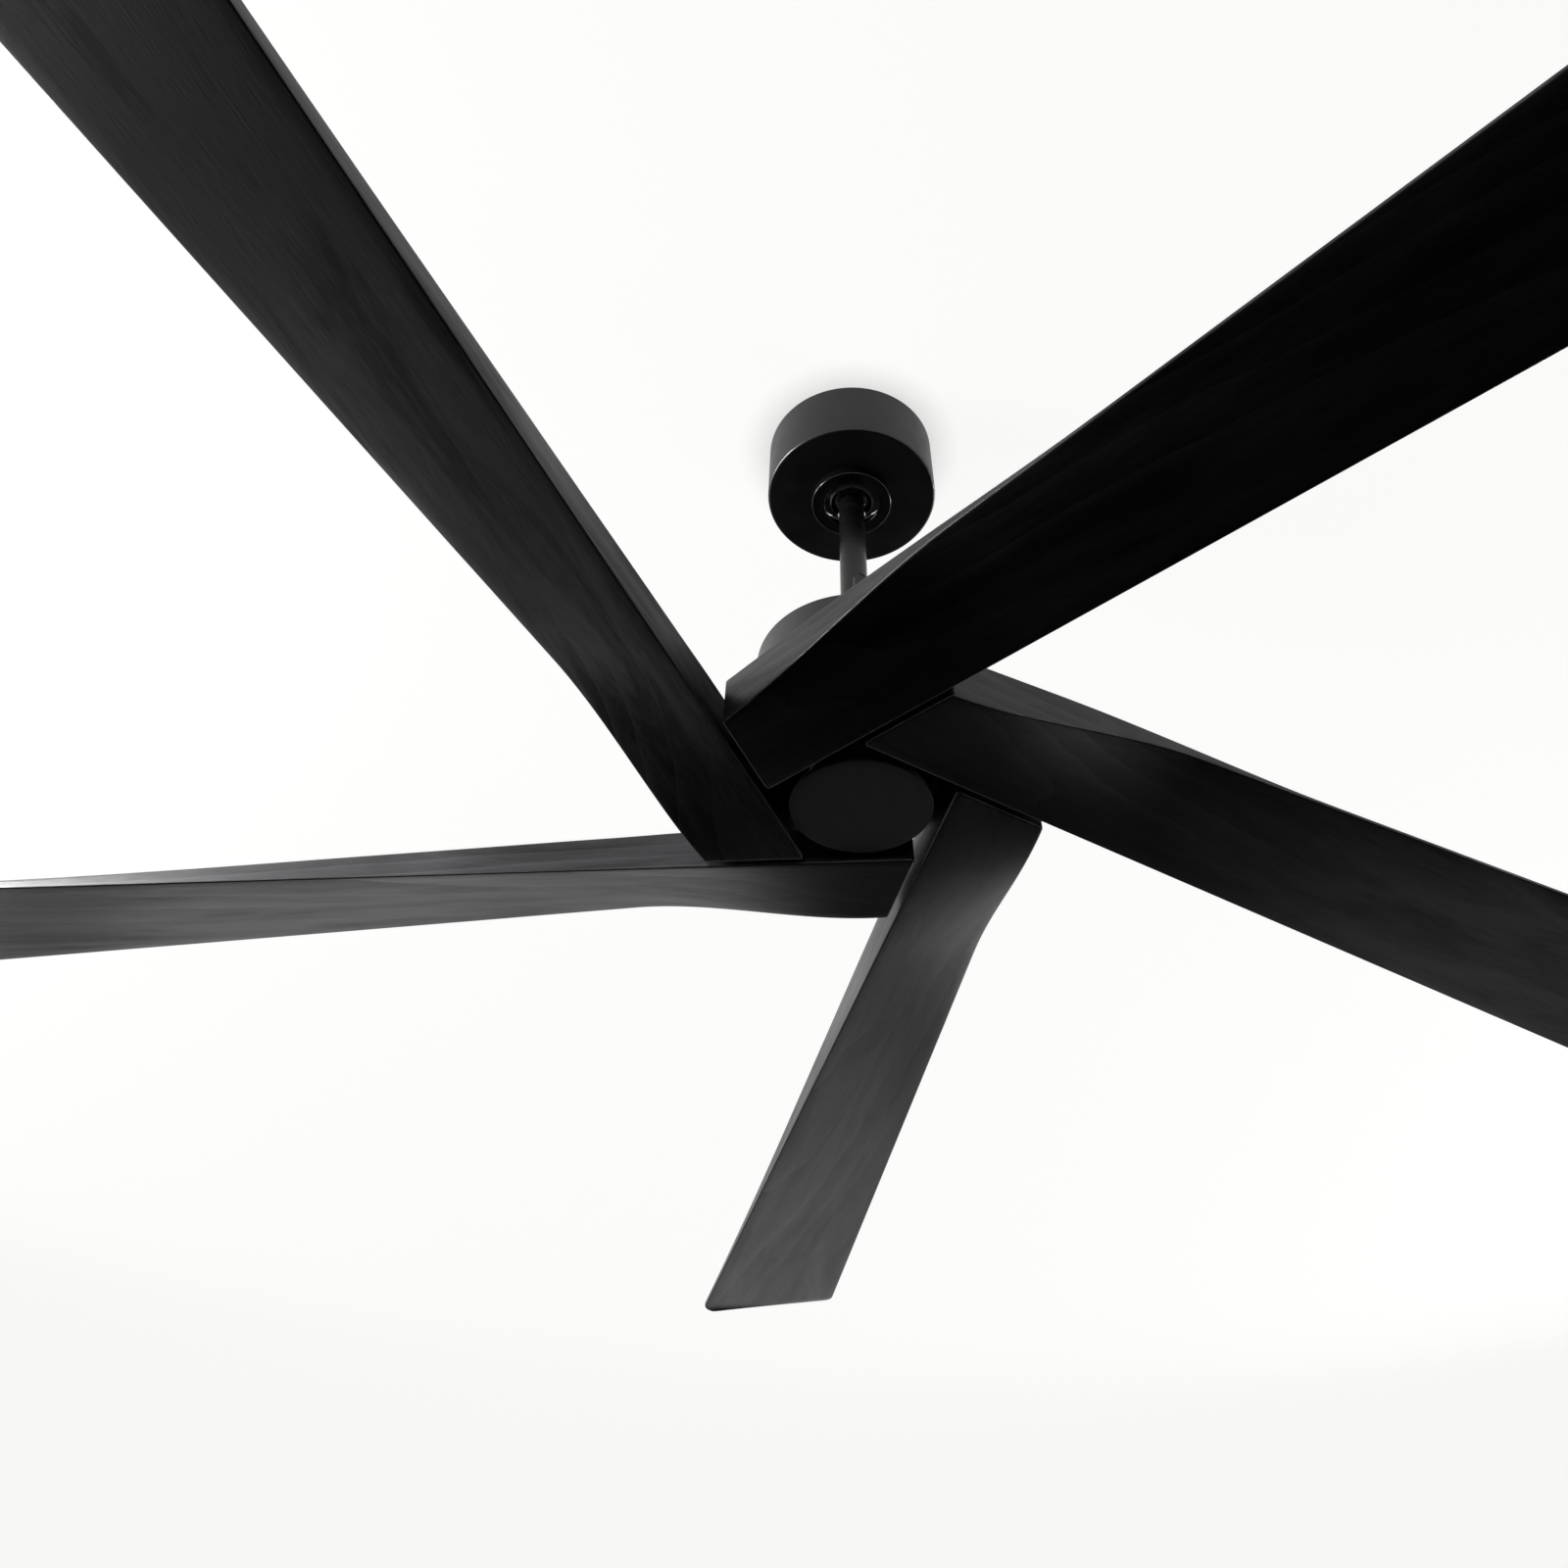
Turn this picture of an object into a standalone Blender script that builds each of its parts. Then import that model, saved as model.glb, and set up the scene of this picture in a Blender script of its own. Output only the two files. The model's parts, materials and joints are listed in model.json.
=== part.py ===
"""Ceiling fan with five carved blades, hung on a downrod from a ball joint.

Units are metres and +Z is up.  The origin is the middle of the bracket's top face, where it
meets the ceiling, so the whole fan hangs below z = 0.  The motor and the blades are measured
upwards from the face of the round bottom cap, which hangs FAN_DROP below the ceiling.
"""

import math

import bmesh
import bpy
from mathutils import Matrix, Vector

# Working values
GAP = 0.0003
MERGE = 0.00001
OVERRUN = 0.004
FINE_STEPS = 40
ROUND_STEPS = 28
SMALL_STEPS = 16
COIL_STEPS = 20
BALL_ARC_STEPS = 6
SCREW_STEPS = 8
ARC_STEPS = 4
CORNER_STEPS = 2
SHARP_ANGLE = math.radians(32.0)

# Overall hang
FAN_DROP = 0.410
BALL_DROP = 0.0495
BLADE_COUNT = 5
FIRST_BLADE_ANGLE = math.radians(-127.83)

# Ceiling bracket, bent and welded from one thickness of steel
BRACKET_LENGTH = 0.108
BRACKET_WIDTH = 0.044
BRACKET_STOCK = 0.0025
BRACKET_CORNER = 0.006
LEG_SPAN = 0.072
LEG_WIDTH = 0.040
CEILING_SLOT_SPACING = 0.089
CEILING_SLOT_LENGTH = 0.012
CEILING_SLOT_WIDTH = 0.005
FOOT_WIDTH = 0.018
BRIDGE_WIDTH = 0.036
BRIDGE_THICKNESS = 0.0020
SOCKET_WALL = 0.0017
SOCKET_LIP_RADIUS = 0.0178
SOCKET_FLANGE_RADIUS = 0.034
SOCKET_FLANGE_THICKNESS = 0.0025
ROD_ENTRY_CLEARANCE = 0.001

# Canopy and the trim ring under it
CANOPY_RADIUS = 0.0729
CANOPY_HEIGHT = 0.0655
CANOPY_WALL = 0.0015
CANOPY_EDGE = 0.0024
CANOPY_OPENING_RADIUS = 0.0270
TRIM_RADIUS = 0.0344
TRIM_HEIGHT = 0.0087
TRIM_WALL = 0.0012
TRIM_EDGE = 0.0010
TRIM_OPENING_RADIUS = 0.0236
CANOPY_SCREW_CIRCLE = 0.0305
CANOPY_SCREW_RADIUS = 0.0015
CANOPY_SCREW_HEAD_RADIUS = 0.0026
CANOPY_SCREW_HEAD_HEIGHT = 0.0018
CANOPY_SCREW_END = 0.0020

# Remote-control receiver on the bracket's side
RECEIVER_DEPTH = 0.024
RECEIVER_WIDTH = 0.042
RECEIVER_HEIGHT = 0.030
RECEIVER_EDGE = 0.0025
RECEIVER_DROP = 0.0100

# Hanger ball and the liner that it swings in
BALL_RADIUS = 0.0250
BALL_TOP_RISE = 0.0080
LINER_THICKNESS = 0.0022
LINER_TOP_DROP = 0.0010
BALL_PIN_RADIUS = 0.0025
BALL_PIN_LENGTH = 0.034
BALL_PIN_EDGE = 0.0005

# Downrod
ROD_RADIUS = 0.0110
ROD_WALL = 0.0020
ROD_TOP_RISE = 0.0185
ROD_EDGE = 0.0005

# Motor housing and the yoke on top of it
HOUSING_RADIUS = 0.0749
HOUSING_TOP = 0.1343
HOUSING_HEIGHT = 0.0903
HOUSING_WALL = 0.0020
HOUSING_ROOF = 0.0030
HOUSING_EDGE = 0.0018
HOUSING_HOLE_RADIUS = 0.0125
YOKE_HEIGHT = 0.0932
YOKE_FLANGE_RADIUS = 0.0240
YOKE_FLANGE_THICKNESS = 0.0040
YOKE_COLLAR_RADIUS = 0.0168
YOKE_COLLAR_HEIGHT = 0.0175
YOKE_FILLET = 0.0025
YOKE_EAR_WIDTH = 0.0140
YOKE_EAR_THICKNESS = 0.0030
YOKE_EAR_ANGLE = math.radians(-62.0)
CLEVIS_PIN_DROP = 0.0200
CLEVIS_PIN_RADIUS = 0.0030
CLEVIS_HEAD_RADIUS = 0.0046
CLEVIS_HEAD_HEIGHT = 0.0020
CLEVIS_END = 0.0035
CLEVIS_CLIP_THICKNESS = 0.0010
CLEVIS_CLIP_RADIUS = 0.0055
YOKE_SCREW_CIRCLE = 0.0202
YOKE_SCREW_RADIUS = 0.0015
YOKE_SCREW_HEAD_RADIUS = 0.0027
YOKE_SCREW_HEAD_HEIGHT = 0.0020
YOKE_SCREW_END = 0.0020
YOKE_SCREW_COUNT = 3
SET_SCREW_RADIUS = 0.0025
SET_SCREW_RISE = 0.0105
SET_SCREW_PROUD = 0.0012

# Motor: a still shaft and stator inside a turning shell
SHAFT_RADIUS = 0.0075
SHAFT_BORE_RADIUS = 0.0045
SHAFT_EDGE = 0.0005
SHAFT_BOTTOM = 0.0420
SHAFT_TOP_MARGIN = 0.0040
CIRCLIP_RADIUS = 0.0099
CIRCLIP_THICKNESS = 0.0012
SHELL_CLEARANCE = 0.0069
SHELL_HEIGHT = 0.0460
SHELL_WALL = 0.0030
SHELL_FLOOR = 0.0030
SHELL_EDGE = 0.0020
BEARING_RADIUS = 0.0135
BEARING_WIDTH = 0.0090
BEARING_EDGE = 0.0006
BEARING_SEAT_WALL = 0.0030
BEARING_HOLE_RADIUS = 0.0106
MAGNET_THICKNESS = 0.0032
MAGNET_HEIGHT = 0.0260
AIR_GAP = 0.0007
STATOR_HEIGHT = 0.0220
STATOR_YOKE_SHARE = 0.46
STATOR_SHOE = 0.0040
TOOTH_COUNT = 12
TOOTH_WIDTH_SHARE = 0.40
SHOE_WIDTH_SHARE = 0.84
COIL_HEIGHT = 0.0070
COIL_RADIUS_SHARE = 0.885
COIL_EDGE = 0.0025

# Blade carrier: a boss, a web and one sloping arm on top of each blade
BOSS_RADIUS = 0.0354
BOSS_WALL = 0.0040
BOSS_TOP = 0.0455
BOSS_ROOF = 0.0060
BOSS_PILOT_RADIUS = 0.0125
WEB_RADIUS = 0.0505
ARM_THICKNESS = 0.0055
ARM_ROOT_RADIUS = 0.0330
ARM_REACH = 0.0500
ARM_BACK_WIDTH = 0.0260
ARM_FRONT_WIDTH = 0.0340
ARM_END_SHARE = 0.62
ARM_CORNER = 0.0090
ROTOR_SCREW_CIRCLE = 0.0240
ROTOR_SCREW_RADIUS = 0.0020
ROTOR_SCREW_HEAD_RADIUS = 0.0036
ROTOR_SCREW_HEAD_HEIGHT = 0.0024
ROTOR_SCREW_END = 0.0018
BLADE_SCREW_RADIUS = 0.0022
BLADE_SCREW_HEAD_RADIUS = 0.0044
BLADE_SCREW_HEAD_HEIGHT = 0.0026
BLADE_SCREW_BITE = 0.0160
BLADE_SCREW_NEAR = 0.0105
BLADE_SCREW_FAR = 0.0400
BLADE_SCREW_BACK = 0.0160
BLADE_SCREW_FRONT = 0.0225
BLADE_SCREW_MIDDLE = 0.0020

# Bottom cap
CAP_RADIUS = 0.0485
CAP_THICKNESS = 0.0030
CAP_EDGE = 0.0009
CAP_SPIGOT_WALL = 0.0025
CAP_SPIGOT_HEIGHT = 0.0060

# Blade: a block at the root that sweeps up into a thin, pitched board
BLADE_OFFSET = 0.0555
BLADE_REACH = 0.8920
BLADE_PROUD = 0.0024
BLADE_ROOT_WIDTH = 0.0684
BLADE_TIP_WIDTH = 0.1480
BLADE_ROOT_HEIGHT_INNER = 0.0335
BLADE_ROOT_HEIGHT_OUTER = 0.0373
BLADE_TIP_HEIGHT_INNER = 0.0049
BLADE_LIFT = 0.0267
BLADE_OUTER_THICKNESS = 0.0028
BLADE_JOINT_GAP = 0.0050
BLADE_EDGE = 0.0014
BLADE_ROOT_CORNER = 0.0040
BLADE_TIP_CORNER = 0.0140
BLADE_SEAT_END = 0.0560
SWEEP_START = -0.0145
SWEEP_END = 0.1795
SHOULDER_START = 0.0680
SHOULDER_END = 0.2900
SKEW_END = 0.0500

# How far the inner face has fallen along the blade: share of the way, share of the fall left
CREST_SHARES = ((0.0, 1.0), (0.08, 0.95), (0.14, 0.86), (0.20, 0.778), (0.28, 0.661),
                (0.40, 0.491), (0.54, 0.287), (0.69, 0.123), (0.86, 0.029), (1.0, 0.0))
# Where the blade's sections stand beyond the skewed root, as shares of the way to the tip
SECTION_SHARES = (0.022, 0.046, 0.072, 0.10, 0.13, 0.165, 0.21, 0.27, 0.35, 0.46, 0.60,
                  0.76, 0.92)
# The same for the skewed root itself, as shares of its length
ROOT_SECTION_SHARES = (0.22, 0.45, 0.70, 1.0)
# Sections that round the root's end, as shares of its corner's radius
ROOT_END_SHARES = (0, 0.12, 0.35, 0.65, 1.0)

# Points between the corners of a blade's underside, as shares of its width
FACE_SHARES = (0.33, 0.67)

# Colours of the materials, linear
BLACK_PAINT = (0.013, 0.013, 0.014)
CAP_PAINT = (0.030, 0.030, 0.031)
BLACK_GLOSS = (0.008, 0.008, 0.008)
BLACK_OAK = (0.016, 0.015, 0.014)
ZINC_STEEL = (0.42, 0.43, 0.45)
BRIGHT_STEEL = (0.50, 0.50, 0.52)
CAST_ALLOY = (0.30, 0.31, 0.32)
COPPER = (0.55, 0.25, 0.13)
MAGNET_GREY = (0.05, 0.05, 0.055)
CORE_GREY = (0.16, 0.16, 0.17)
NYLON = (0.05, 0.05, 0.05)
RECEIVER_PLASTIC = (0.02, 0.02, 0.022)

# Places worked out from the sizes above
STEP_ANGLE = math.tau / BLADE_COUNT
BLADE_LOW = -BLADE_PROUD
SEAT_SLOPE = math.atan2(BLADE_ROOT_HEIGHT_OUTER - BLADE_ROOT_HEIGHT_INNER, BLADE_ROOT_WIDTH)
BLADE_SEAT = BLADE_LOW + BLADE_ROOT_HEIGHT_INNER
ARM_FOOT = BLADE_SEAT + GAP / math.cos(SEAT_SLOPE)
LINER_INNER_RADIUS = BALL_RADIUS + GAP
LINER_OUTER_RADIUS = LINER_INNER_RADIUS + LINER_THICKNESS
SOCKET_INNER_RADIUS = LINER_OUTER_RADIUS + GAP
SOCKET_OUTER_RADIUS = SOCKET_INNER_RADIUS + SOCKET_WALL
LEG_INNER = LEG_SPAN / 2
LEG_OUTER = LEG_INNER + BRACKET_STOCK
FOOT_BOTTOM = -CANOPY_HEIGHT + CANOPY_WALL + GAP
FOOT_TOP = FOOT_BOTTOM + BRACKET_STOCK
YOKE_BASE = HOUSING_TOP + GAP
COLLAR_TOP = YOKE_BASE + YOKE_COLLAR_HEIGHT
YOKE_TOP = HOUSING_TOP + YOKE_HEIGHT
EAR_INNER = ROD_RADIUS + GAP
EAR_OUTER = EAR_INNER + YOKE_EAR_THICKNESS
ROD_BOTTOM = COLLAR_TOP + GAP
CLEVIS_RISE = YOKE_TOP - CLEVIS_PIN_DROP
SHELL_BOTTOM = BOSS_TOP + GAP
SHELL_TOP = SHELL_BOTTOM + SHELL_HEIGHT
BEARING_SEAT_RADIUS = BEARING_RADIUS + GAP
COVER_BOTTOM = SHELL_TOP + GAP
MOTOR_MIDDLE = (SHELL_BOTTOM + SHELL_FLOOR + SHELL_TOP) / 2
SHELL_RADIUS = HOUSING_RADIUS - HOUSING_WALL - SHELL_CLEARANCE
SHELL_BORE = SHELL_RADIUS - SHELL_WALL
MAGNET_OUTER = SHELL_BORE - GAP
MAGNET_INNER = MAGNET_OUTER - MAGNET_THICKNESS
STATOR_RADIUS = MAGNET_INNER - AIR_GAP
STATOR_YOKE_RADIUS = STATOR_RADIUS * STATOR_YOKE_SHARE
COIL_RADIUS = STATOR_RADIUS * COIL_RADIUS_SHARE
CAP_BACK = CAP_THICKNESS
SPIGOT_RADIUS = BOSS_RADIUS - BOSS_WALL - GAP


# Tools

def material(name, colour, roughness, metallic):
    """Make one Principled material."""
    made = bpy.data.materials.new(name)
    made.use_nodes = True
    shader = made.node_tree.nodes["Principled BSDF"]
    shader.inputs["Base Color"].default_value = (*colour, 1.0)
    shader.inputs["Roughness"].default_value = roughness
    shader.inputs["Metallic"].default_value = metallic
    made.diffuse_color = (*colour, 1.0)
    return made


def put(name, data, paint=None, parent=None, place=(0, 0, 0), turn=(0, 0, 0), cutter=False):
    """Add an object to the fan's collection, or to the cutters' one."""
    obj = bpy.data.objects.new(name, data)
    (cutters if cutter else fan).objects.link(obj)
    obj.parent = parent
    obj.location = place
    obj.rotation_euler = turn
    if cutter:
        obj.hide_render = True
        obj.display_type = "WIRE"
    if paint and data and not data.materials:
        data.materials.append(paint)
    return obj


def empty(name, parent=None, place=(0, 0, 0), turn=(0, 0, 0)):
    """Add an empty that carries a group of pieces."""
    obj = bpy.data.objects.new(name, None)
    fan.objects.link(obj)
    obj.empty_display_size = ROD_RADIUS
    obj.parent = parent
    obj.location = place
    obj.rotation_euler = turn
    return obj


def baked(obj):
    """Take an object's modified mesh, weld it, shade its round faces smooth and drop the object."""
    bpy.context.view_layer.update()
    graph = bpy.context.evaluated_depsgraph_get()
    mesh = bpy.data.meshes.new_from_object(obj.evaluated_get(graph))
    work = bmesh.new()
    work.from_mesh(mesh)
    bmesh.ops.remove_doubles(work, verts=work.verts, dist=MERGE)
    work.to_mesh(mesh)
    work.free()
    mesh.shade_smooth()
    mesh.set_sharp_from_angle(angle=SHARP_ANGLE)
    mesh.name = obj.name
    bpy.data.objects.remove(obj)
    return mesh


def turned(name, profile, steps):
    """Turn a closed outline of (radius, height) points, outer side first, about the Z axis."""
    mesh = bpy.data.meshes.new(name)
    work = bmesh.new()
    points = [work.verts.new((radius, 0, height)) for radius, height in profile]
    for index, point in enumerate(points):
        if index or profile[0][0] > 0:
            work.edges.new((points[index - 1], point))
    work.to_mesh(mesh)
    work.free()
    obj = put(name, mesh)
    spin = obj.modifiers.new("Turn", "SCREW")
    spin.axis = "Z"
    spin.angle = math.tau
    spin.steps = steps
    spin.render_steps = steps
    spin.use_merge_vertices = True
    spin.merge_threshold = MERGE
    return baked(obj)


def arc(centre, radius, start, end, steps):
    """Points of a circular arc between two angles in degrees, both ends included."""
    angles = [math.radians(start + (end - start) * k / steps) for k in range(steps + 1)]
    return [(centre[0] + radius * math.cos(a), centre[1] + radius * math.sin(a)) for a in angles]


def rounded(corners, radius, steps=CORNER_STEPS):
    """Round the corners of an outline; each corner gives way to a short curve."""
    out = []
    for index, corner in enumerate(corners):
        here = Vector(corner)
        before = Vector(corners[index - 1]) - here
        after = Vector(corners[(index + 1) % len(corners)]) - here
        reach = min(radius, before.length / 2, after.length / 2)
        first = here + before.normalized() * reach
        last = here + after.normalized() * reach
        for k in range(steps + 1):
            t = k / steps
            out.append(tuple(first * (1 - t) ** 2 + here * 2 * t * (1 - t) + last * t * t))
    return out


def slab(name, outlines, thickness):
    """Extrude flat outlines, the first one outside and the rest holes, about their own plane."""
    curve = bpy.data.curves.new(name, "CURVE")
    curve.dimensions = "2D"
    curve.fill_mode = "BOTH"
    curve.extrude = thickness / 2
    for outline in outlines:
        spline = curve.splines.new("POLY")
        spline.points.add(len(outline) - 1)
        for point, (x, y) in zip(spline.points, outline):
            point.co = (x, y, 0, 1)
        spline.use_cyclic_u = True
    return baked(put(name, curve))


def block(name, size, edge=0):
    """A box about its own middle, its edges rounded if asked."""
    mesh = bpy.data.meshes.new(name)
    work = bmesh.new()
    bmesh.ops.create_cube(work, size=1)
    bmesh.ops.scale(work, vec=size, verts=work.verts)
    if edge:
        bmesh.ops.bevel(work, geom=work.edges[:], offset=edge, segments=2, profile=0.5,
                        affect="EDGES")
    work.to_mesh(mesh)
    work.free()
    mesh.shade_smooth()
    mesh.set_sharp_from_angle(angle=SHARP_ANGLE)
    return mesh


def bar(name, radius, length, steps, edge=0):
    """A round bar about its own middle, along Z, its ends chamfered if asked."""
    half = length / 2
    if edge:
        profile = [(0, half), (radius - edge, half), (radius, half - edge),
                   (radius, edge - half), (radius - edge, -half), (0, -half)]
    else:
        profile = [(0, half), (radius, half), (radius, -half), (0, -half)]
    return turned(name, profile, steps)


def cap_screw(name, radius, length, head_radius, head_height):
    """A flat-topped screw with its head above z = 0 and its shank below."""
    profile = [(0, head_height), (head_radius, head_height), (head_radius, 0), (radius, 0),
               (radius, -length), (0, -length)]
    return turned(name, profile, SCREW_STEPS)


def boolean(obj, operation, other):
    """Cut or join one object with another and keep the modifier on it."""
    step = obj.modifiers.new(other.name, "BOOLEAN")
    step.operation = operation
    step.solver = "EXACT"
    step.object = other
    return step


def cut(obj, *others):
    """Cut every tool away from the object."""
    for other in others:
        boolean(obj, "DIFFERENCE", other)


def join(obj, *others):
    """Join every piece to the object."""
    for other in others:
        boolean(obj, "UNION", other)


def smoothstep(value, start, end):
    """Ease from 0 at start to 1 at end."""
    t = min(max((value - start) / (end - start), 0), 1)
    return t * t * (3 - 2 * t)


def eased_table(table, at):
    """Read a falling table of (place, value) points along a smooth monotone curve."""
    places = [row[0] for row in table]
    values = [row[1] for row in table]
    widths = [b - a for a, b in zip(places, places[1:])]
    slopes = [(b - a) / w for a, b, w in zip(values, values[1:], widths)]
    tangents = [slopes[0]]
    for k in range(1, len(slopes)):
        before, after = slopes[k - 1], slopes[k]
        tangents.append(2 * before * after / (before + after) if before * after > 0 else 0)
    tangents.append(slopes[-1])
    k = 0
    while k < len(widths) - 1 and at > places[k + 1]:
        k += 1
    t = min(max((at - places[k]) / widths[k], 0), 1)
    return ((1 + 2 * t) * (1 - t) ** 2 * values[k] + t * (1 - t) ** 2 * widths[k] * tangents[k]
            + t * t * (3 - 2 * t) * values[k + 1] + t * t * (t - 1) * widths[k] * tangents[k + 1])


# Ceiling end

def make_bracket():
    """Hanger bracket: ceiling plate, two legs, inturned feet and an open-sided ball socket."""
    half = BRACKET_LENGTH / 2
    side = BRACKET_WIDTH / 2
    plate = rounded([(-half, -side), (half, -side), (half, side), (-half, side)], BRACKET_CORNER)
    outlines = [plate]
    for way in (-1, 1):
        middle = way * CEILING_SLOT_SPACING / 2
        run = (CEILING_SLOT_LENGTH - CEILING_SLOT_WIDTH) / 2
        end = CEILING_SLOT_WIDTH / 2
        outlines.append(arc((middle + run, 0), end, -90, 90, ARC_STEPS)
                        + arc((middle - run, 0), end, 90, 270, ARC_STEPS))
    bracket = put("hanger_bracket", slab("hanger_bracket", outlines, BRACKET_STOCK), zinc,
                  place=(0, 0, -BRACKET_STOCK / 2))
    foot_end = math.sqrt(SOCKET_OUTER_RADIUS ** 2 - (BALL_DROP + FOOT_TOP) ** 2) + 2 * GAP
    for way in (-1, 1):
        tag = "right" if way > 0 else "left"
        leg = block("leg_" + tag, (BRACKET_STOCK, LEG_WIDTH, -FOOT_BOTTOM - BRACKET_STOCK / 2))
        join(bracket, put("leg_" + tag, leg, cutter=True,
                          place=(way * (LEG_INNER + LEG_OUTER) / 2, 0,
                                 (FOOT_BOTTOM - BRACKET_STOCK / 2) / 2)))
        foot = block("foot_" + tag, (LEG_OUTER - foot_end - BRACKET_STOCK / 2, FOOT_WIDTH,
                                     BRACKET_STOCK))
        join(bracket, put("foot_" + tag, foot, cutter=True,
                          place=(way * (foot_end + LEG_OUTER - BRACKET_STOCK / 2) / 2, 0,
                                 (FOOT_TOP + FOOT_BOTTOM) / 2)))
    bridge = block("bridge", (LEG_SPAN + BRACKET_STOCK, BRIDGE_WIDTH, BRIDGE_THICKNESS))
    middle = (0, 0, -BALL_DROP)
    join(bracket, put("bridge", bridge, cutter=True, place=middle))
    well = bar("socket_well", SOCKET_INNER_RADIUS + SOCKET_WALL / 2, 3 * BRIDGE_THICKNESS,
               ROUND_STEPS)
    cut(bracket, put("socket_well", well, cutter=True, place=middle))
    low = -SOCKET_FLANGE_THICKNESS / 2
    outer_start = math.degrees(math.asin(low / SOCKET_OUTER_RADIUS))
    outer_end = -math.degrees(math.acos(SOCKET_LIP_RADIUS / SOCKET_OUTER_RADIUS))
    inner_end = -math.degrees(math.acos(SOCKET_LIP_RADIUS / SOCKET_INNER_RADIUS))
    bowl = ([(SOCKET_FLANGE_RADIUS, -low), (SOCKET_FLANGE_RADIUS, low)]
            + arc((0, 0), SOCKET_OUTER_RADIUS, outer_start, outer_end, ARC_STEPS)
            + arc((0, 0), SOCKET_INNER_RADIUS, inner_end, 0, BALL_ARC_STEPS)
            + [(SOCKET_INNER_RADIUS, -low)])
    join(bracket, put("socket", turned("socket", bowl, ROUND_STEPS), cutter=True, place=middle))
    cut(bracket, rod_entry())
    for way in (-1, 1):
        hole = bar("foot_hole", CANOPY_SCREW_RADIUS + GAP, OVERRUN * 3, SCREW_STEPS)
        cut(bracket, put("foot_hole", hole, cutter=True,
                         place=(way * CANOPY_SCREW_CIRCLE, 0, FOOT_BOTTOM)))


def rod_entry():
    """The slot at the back through which the rod slides into the socket."""
    deep = SOCKET_FLANGE_RADIUS + BRACKET_WIDTH
    box = block("rod_entry", (2 * (ROD_RADIUS + ROD_ENTRY_CLEARANCE), deep,
                              2 * (SOCKET_OUTER_RADIUS + OVERRUN)))
    return put("rod_entry", box, cutter=True, place=(0, deep / 2, -BALL_DROP))


def make_canopy():
    """Plain round canopy with a turned-in floor, and the shallow trim ring below it."""
    edge = (CANOPY_RADIUS - CANOPY_EDGE, CANOPY_EDGE - CANOPY_HEIGHT)
    profile = ([(CANOPY_RADIUS, 0)] + arc(edge, CANOPY_EDGE, 0, -90, ARC_STEPS)
               + [(CANOPY_OPENING_RADIUS, -CANOPY_HEIGHT),
                  (CANOPY_OPENING_RADIUS, CANOPY_WALL - CANOPY_HEIGHT)]
               + arc(edge, CANOPY_EDGE - CANOPY_WALL, -90, 0, 1)
               + [(CANOPY_RADIUS - CANOPY_WALL, 0)])
    canopy = put("canopy", turned("canopy", profile, FINE_STEPS), black)
    for way, number in ((-1, 1), (1, 2)):
        hole = bar("canopy_hole", CANOPY_SCREW_RADIUS + GAP, OVERRUN, SCREW_STEPS)
        spot = way * CANOPY_SCREW_CIRCLE
        cut(canopy, put("canopy_hole", hole, cutter=True, place=(spot, 0, -CANOPY_HEIGHT)))
        length = CANOPY_WALL + BRACKET_STOCK + 2 * GAP + CANOPY_SCREW_END
        screw = cap_screw("canopy_screw_%d" % number, CANOPY_SCREW_RADIUS, length,
                          CANOPY_SCREW_HEAD_RADIUS, CANOPY_SCREW_HEAD_HEIGHT)
        put("canopy_screw_%d" % number, screw, bright, turn=(math.pi, 0, 0),
            place=(spot, 0, -CANOPY_HEIGHT - GAP))
    top = -CANOPY_HEIGHT - GAP
    low = top - TRIM_HEIGHT
    bore = TRIM_RADIUS - TRIM_WALL
    ring = ([(TRIM_RADIUS, top)]
            + arc((TRIM_RADIUS - TRIM_EDGE, low + TRIM_EDGE), TRIM_EDGE, 0, -90, CORNER_STEPS)
            + [(TRIM_OPENING_RADIUS, low), (TRIM_OPENING_RADIUS, low + TRIM_WALL),
               (bore, low + TRIM_WALL), (bore, top)])
    put("canopy_trim_ring", turned("canopy_trim_ring", ring, FINE_STEPS), black)


def make_receiver():
    """Remote-control receiver against the bracket's right leg."""
    box = block("receiver_module", (RECEIVER_DEPTH, RECEIVER_WIDTH, RECEIVER_HEIGHT),
                RECEIVER_EDGE)
    put("receiver_module", box, receiver_plastic,
        place=(LEG_OUTER + GAP + RECEIVER_DEPTH / 2, 0, -RECEIVER_DROP - RECEIVER_HEIGHT / 2))


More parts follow.
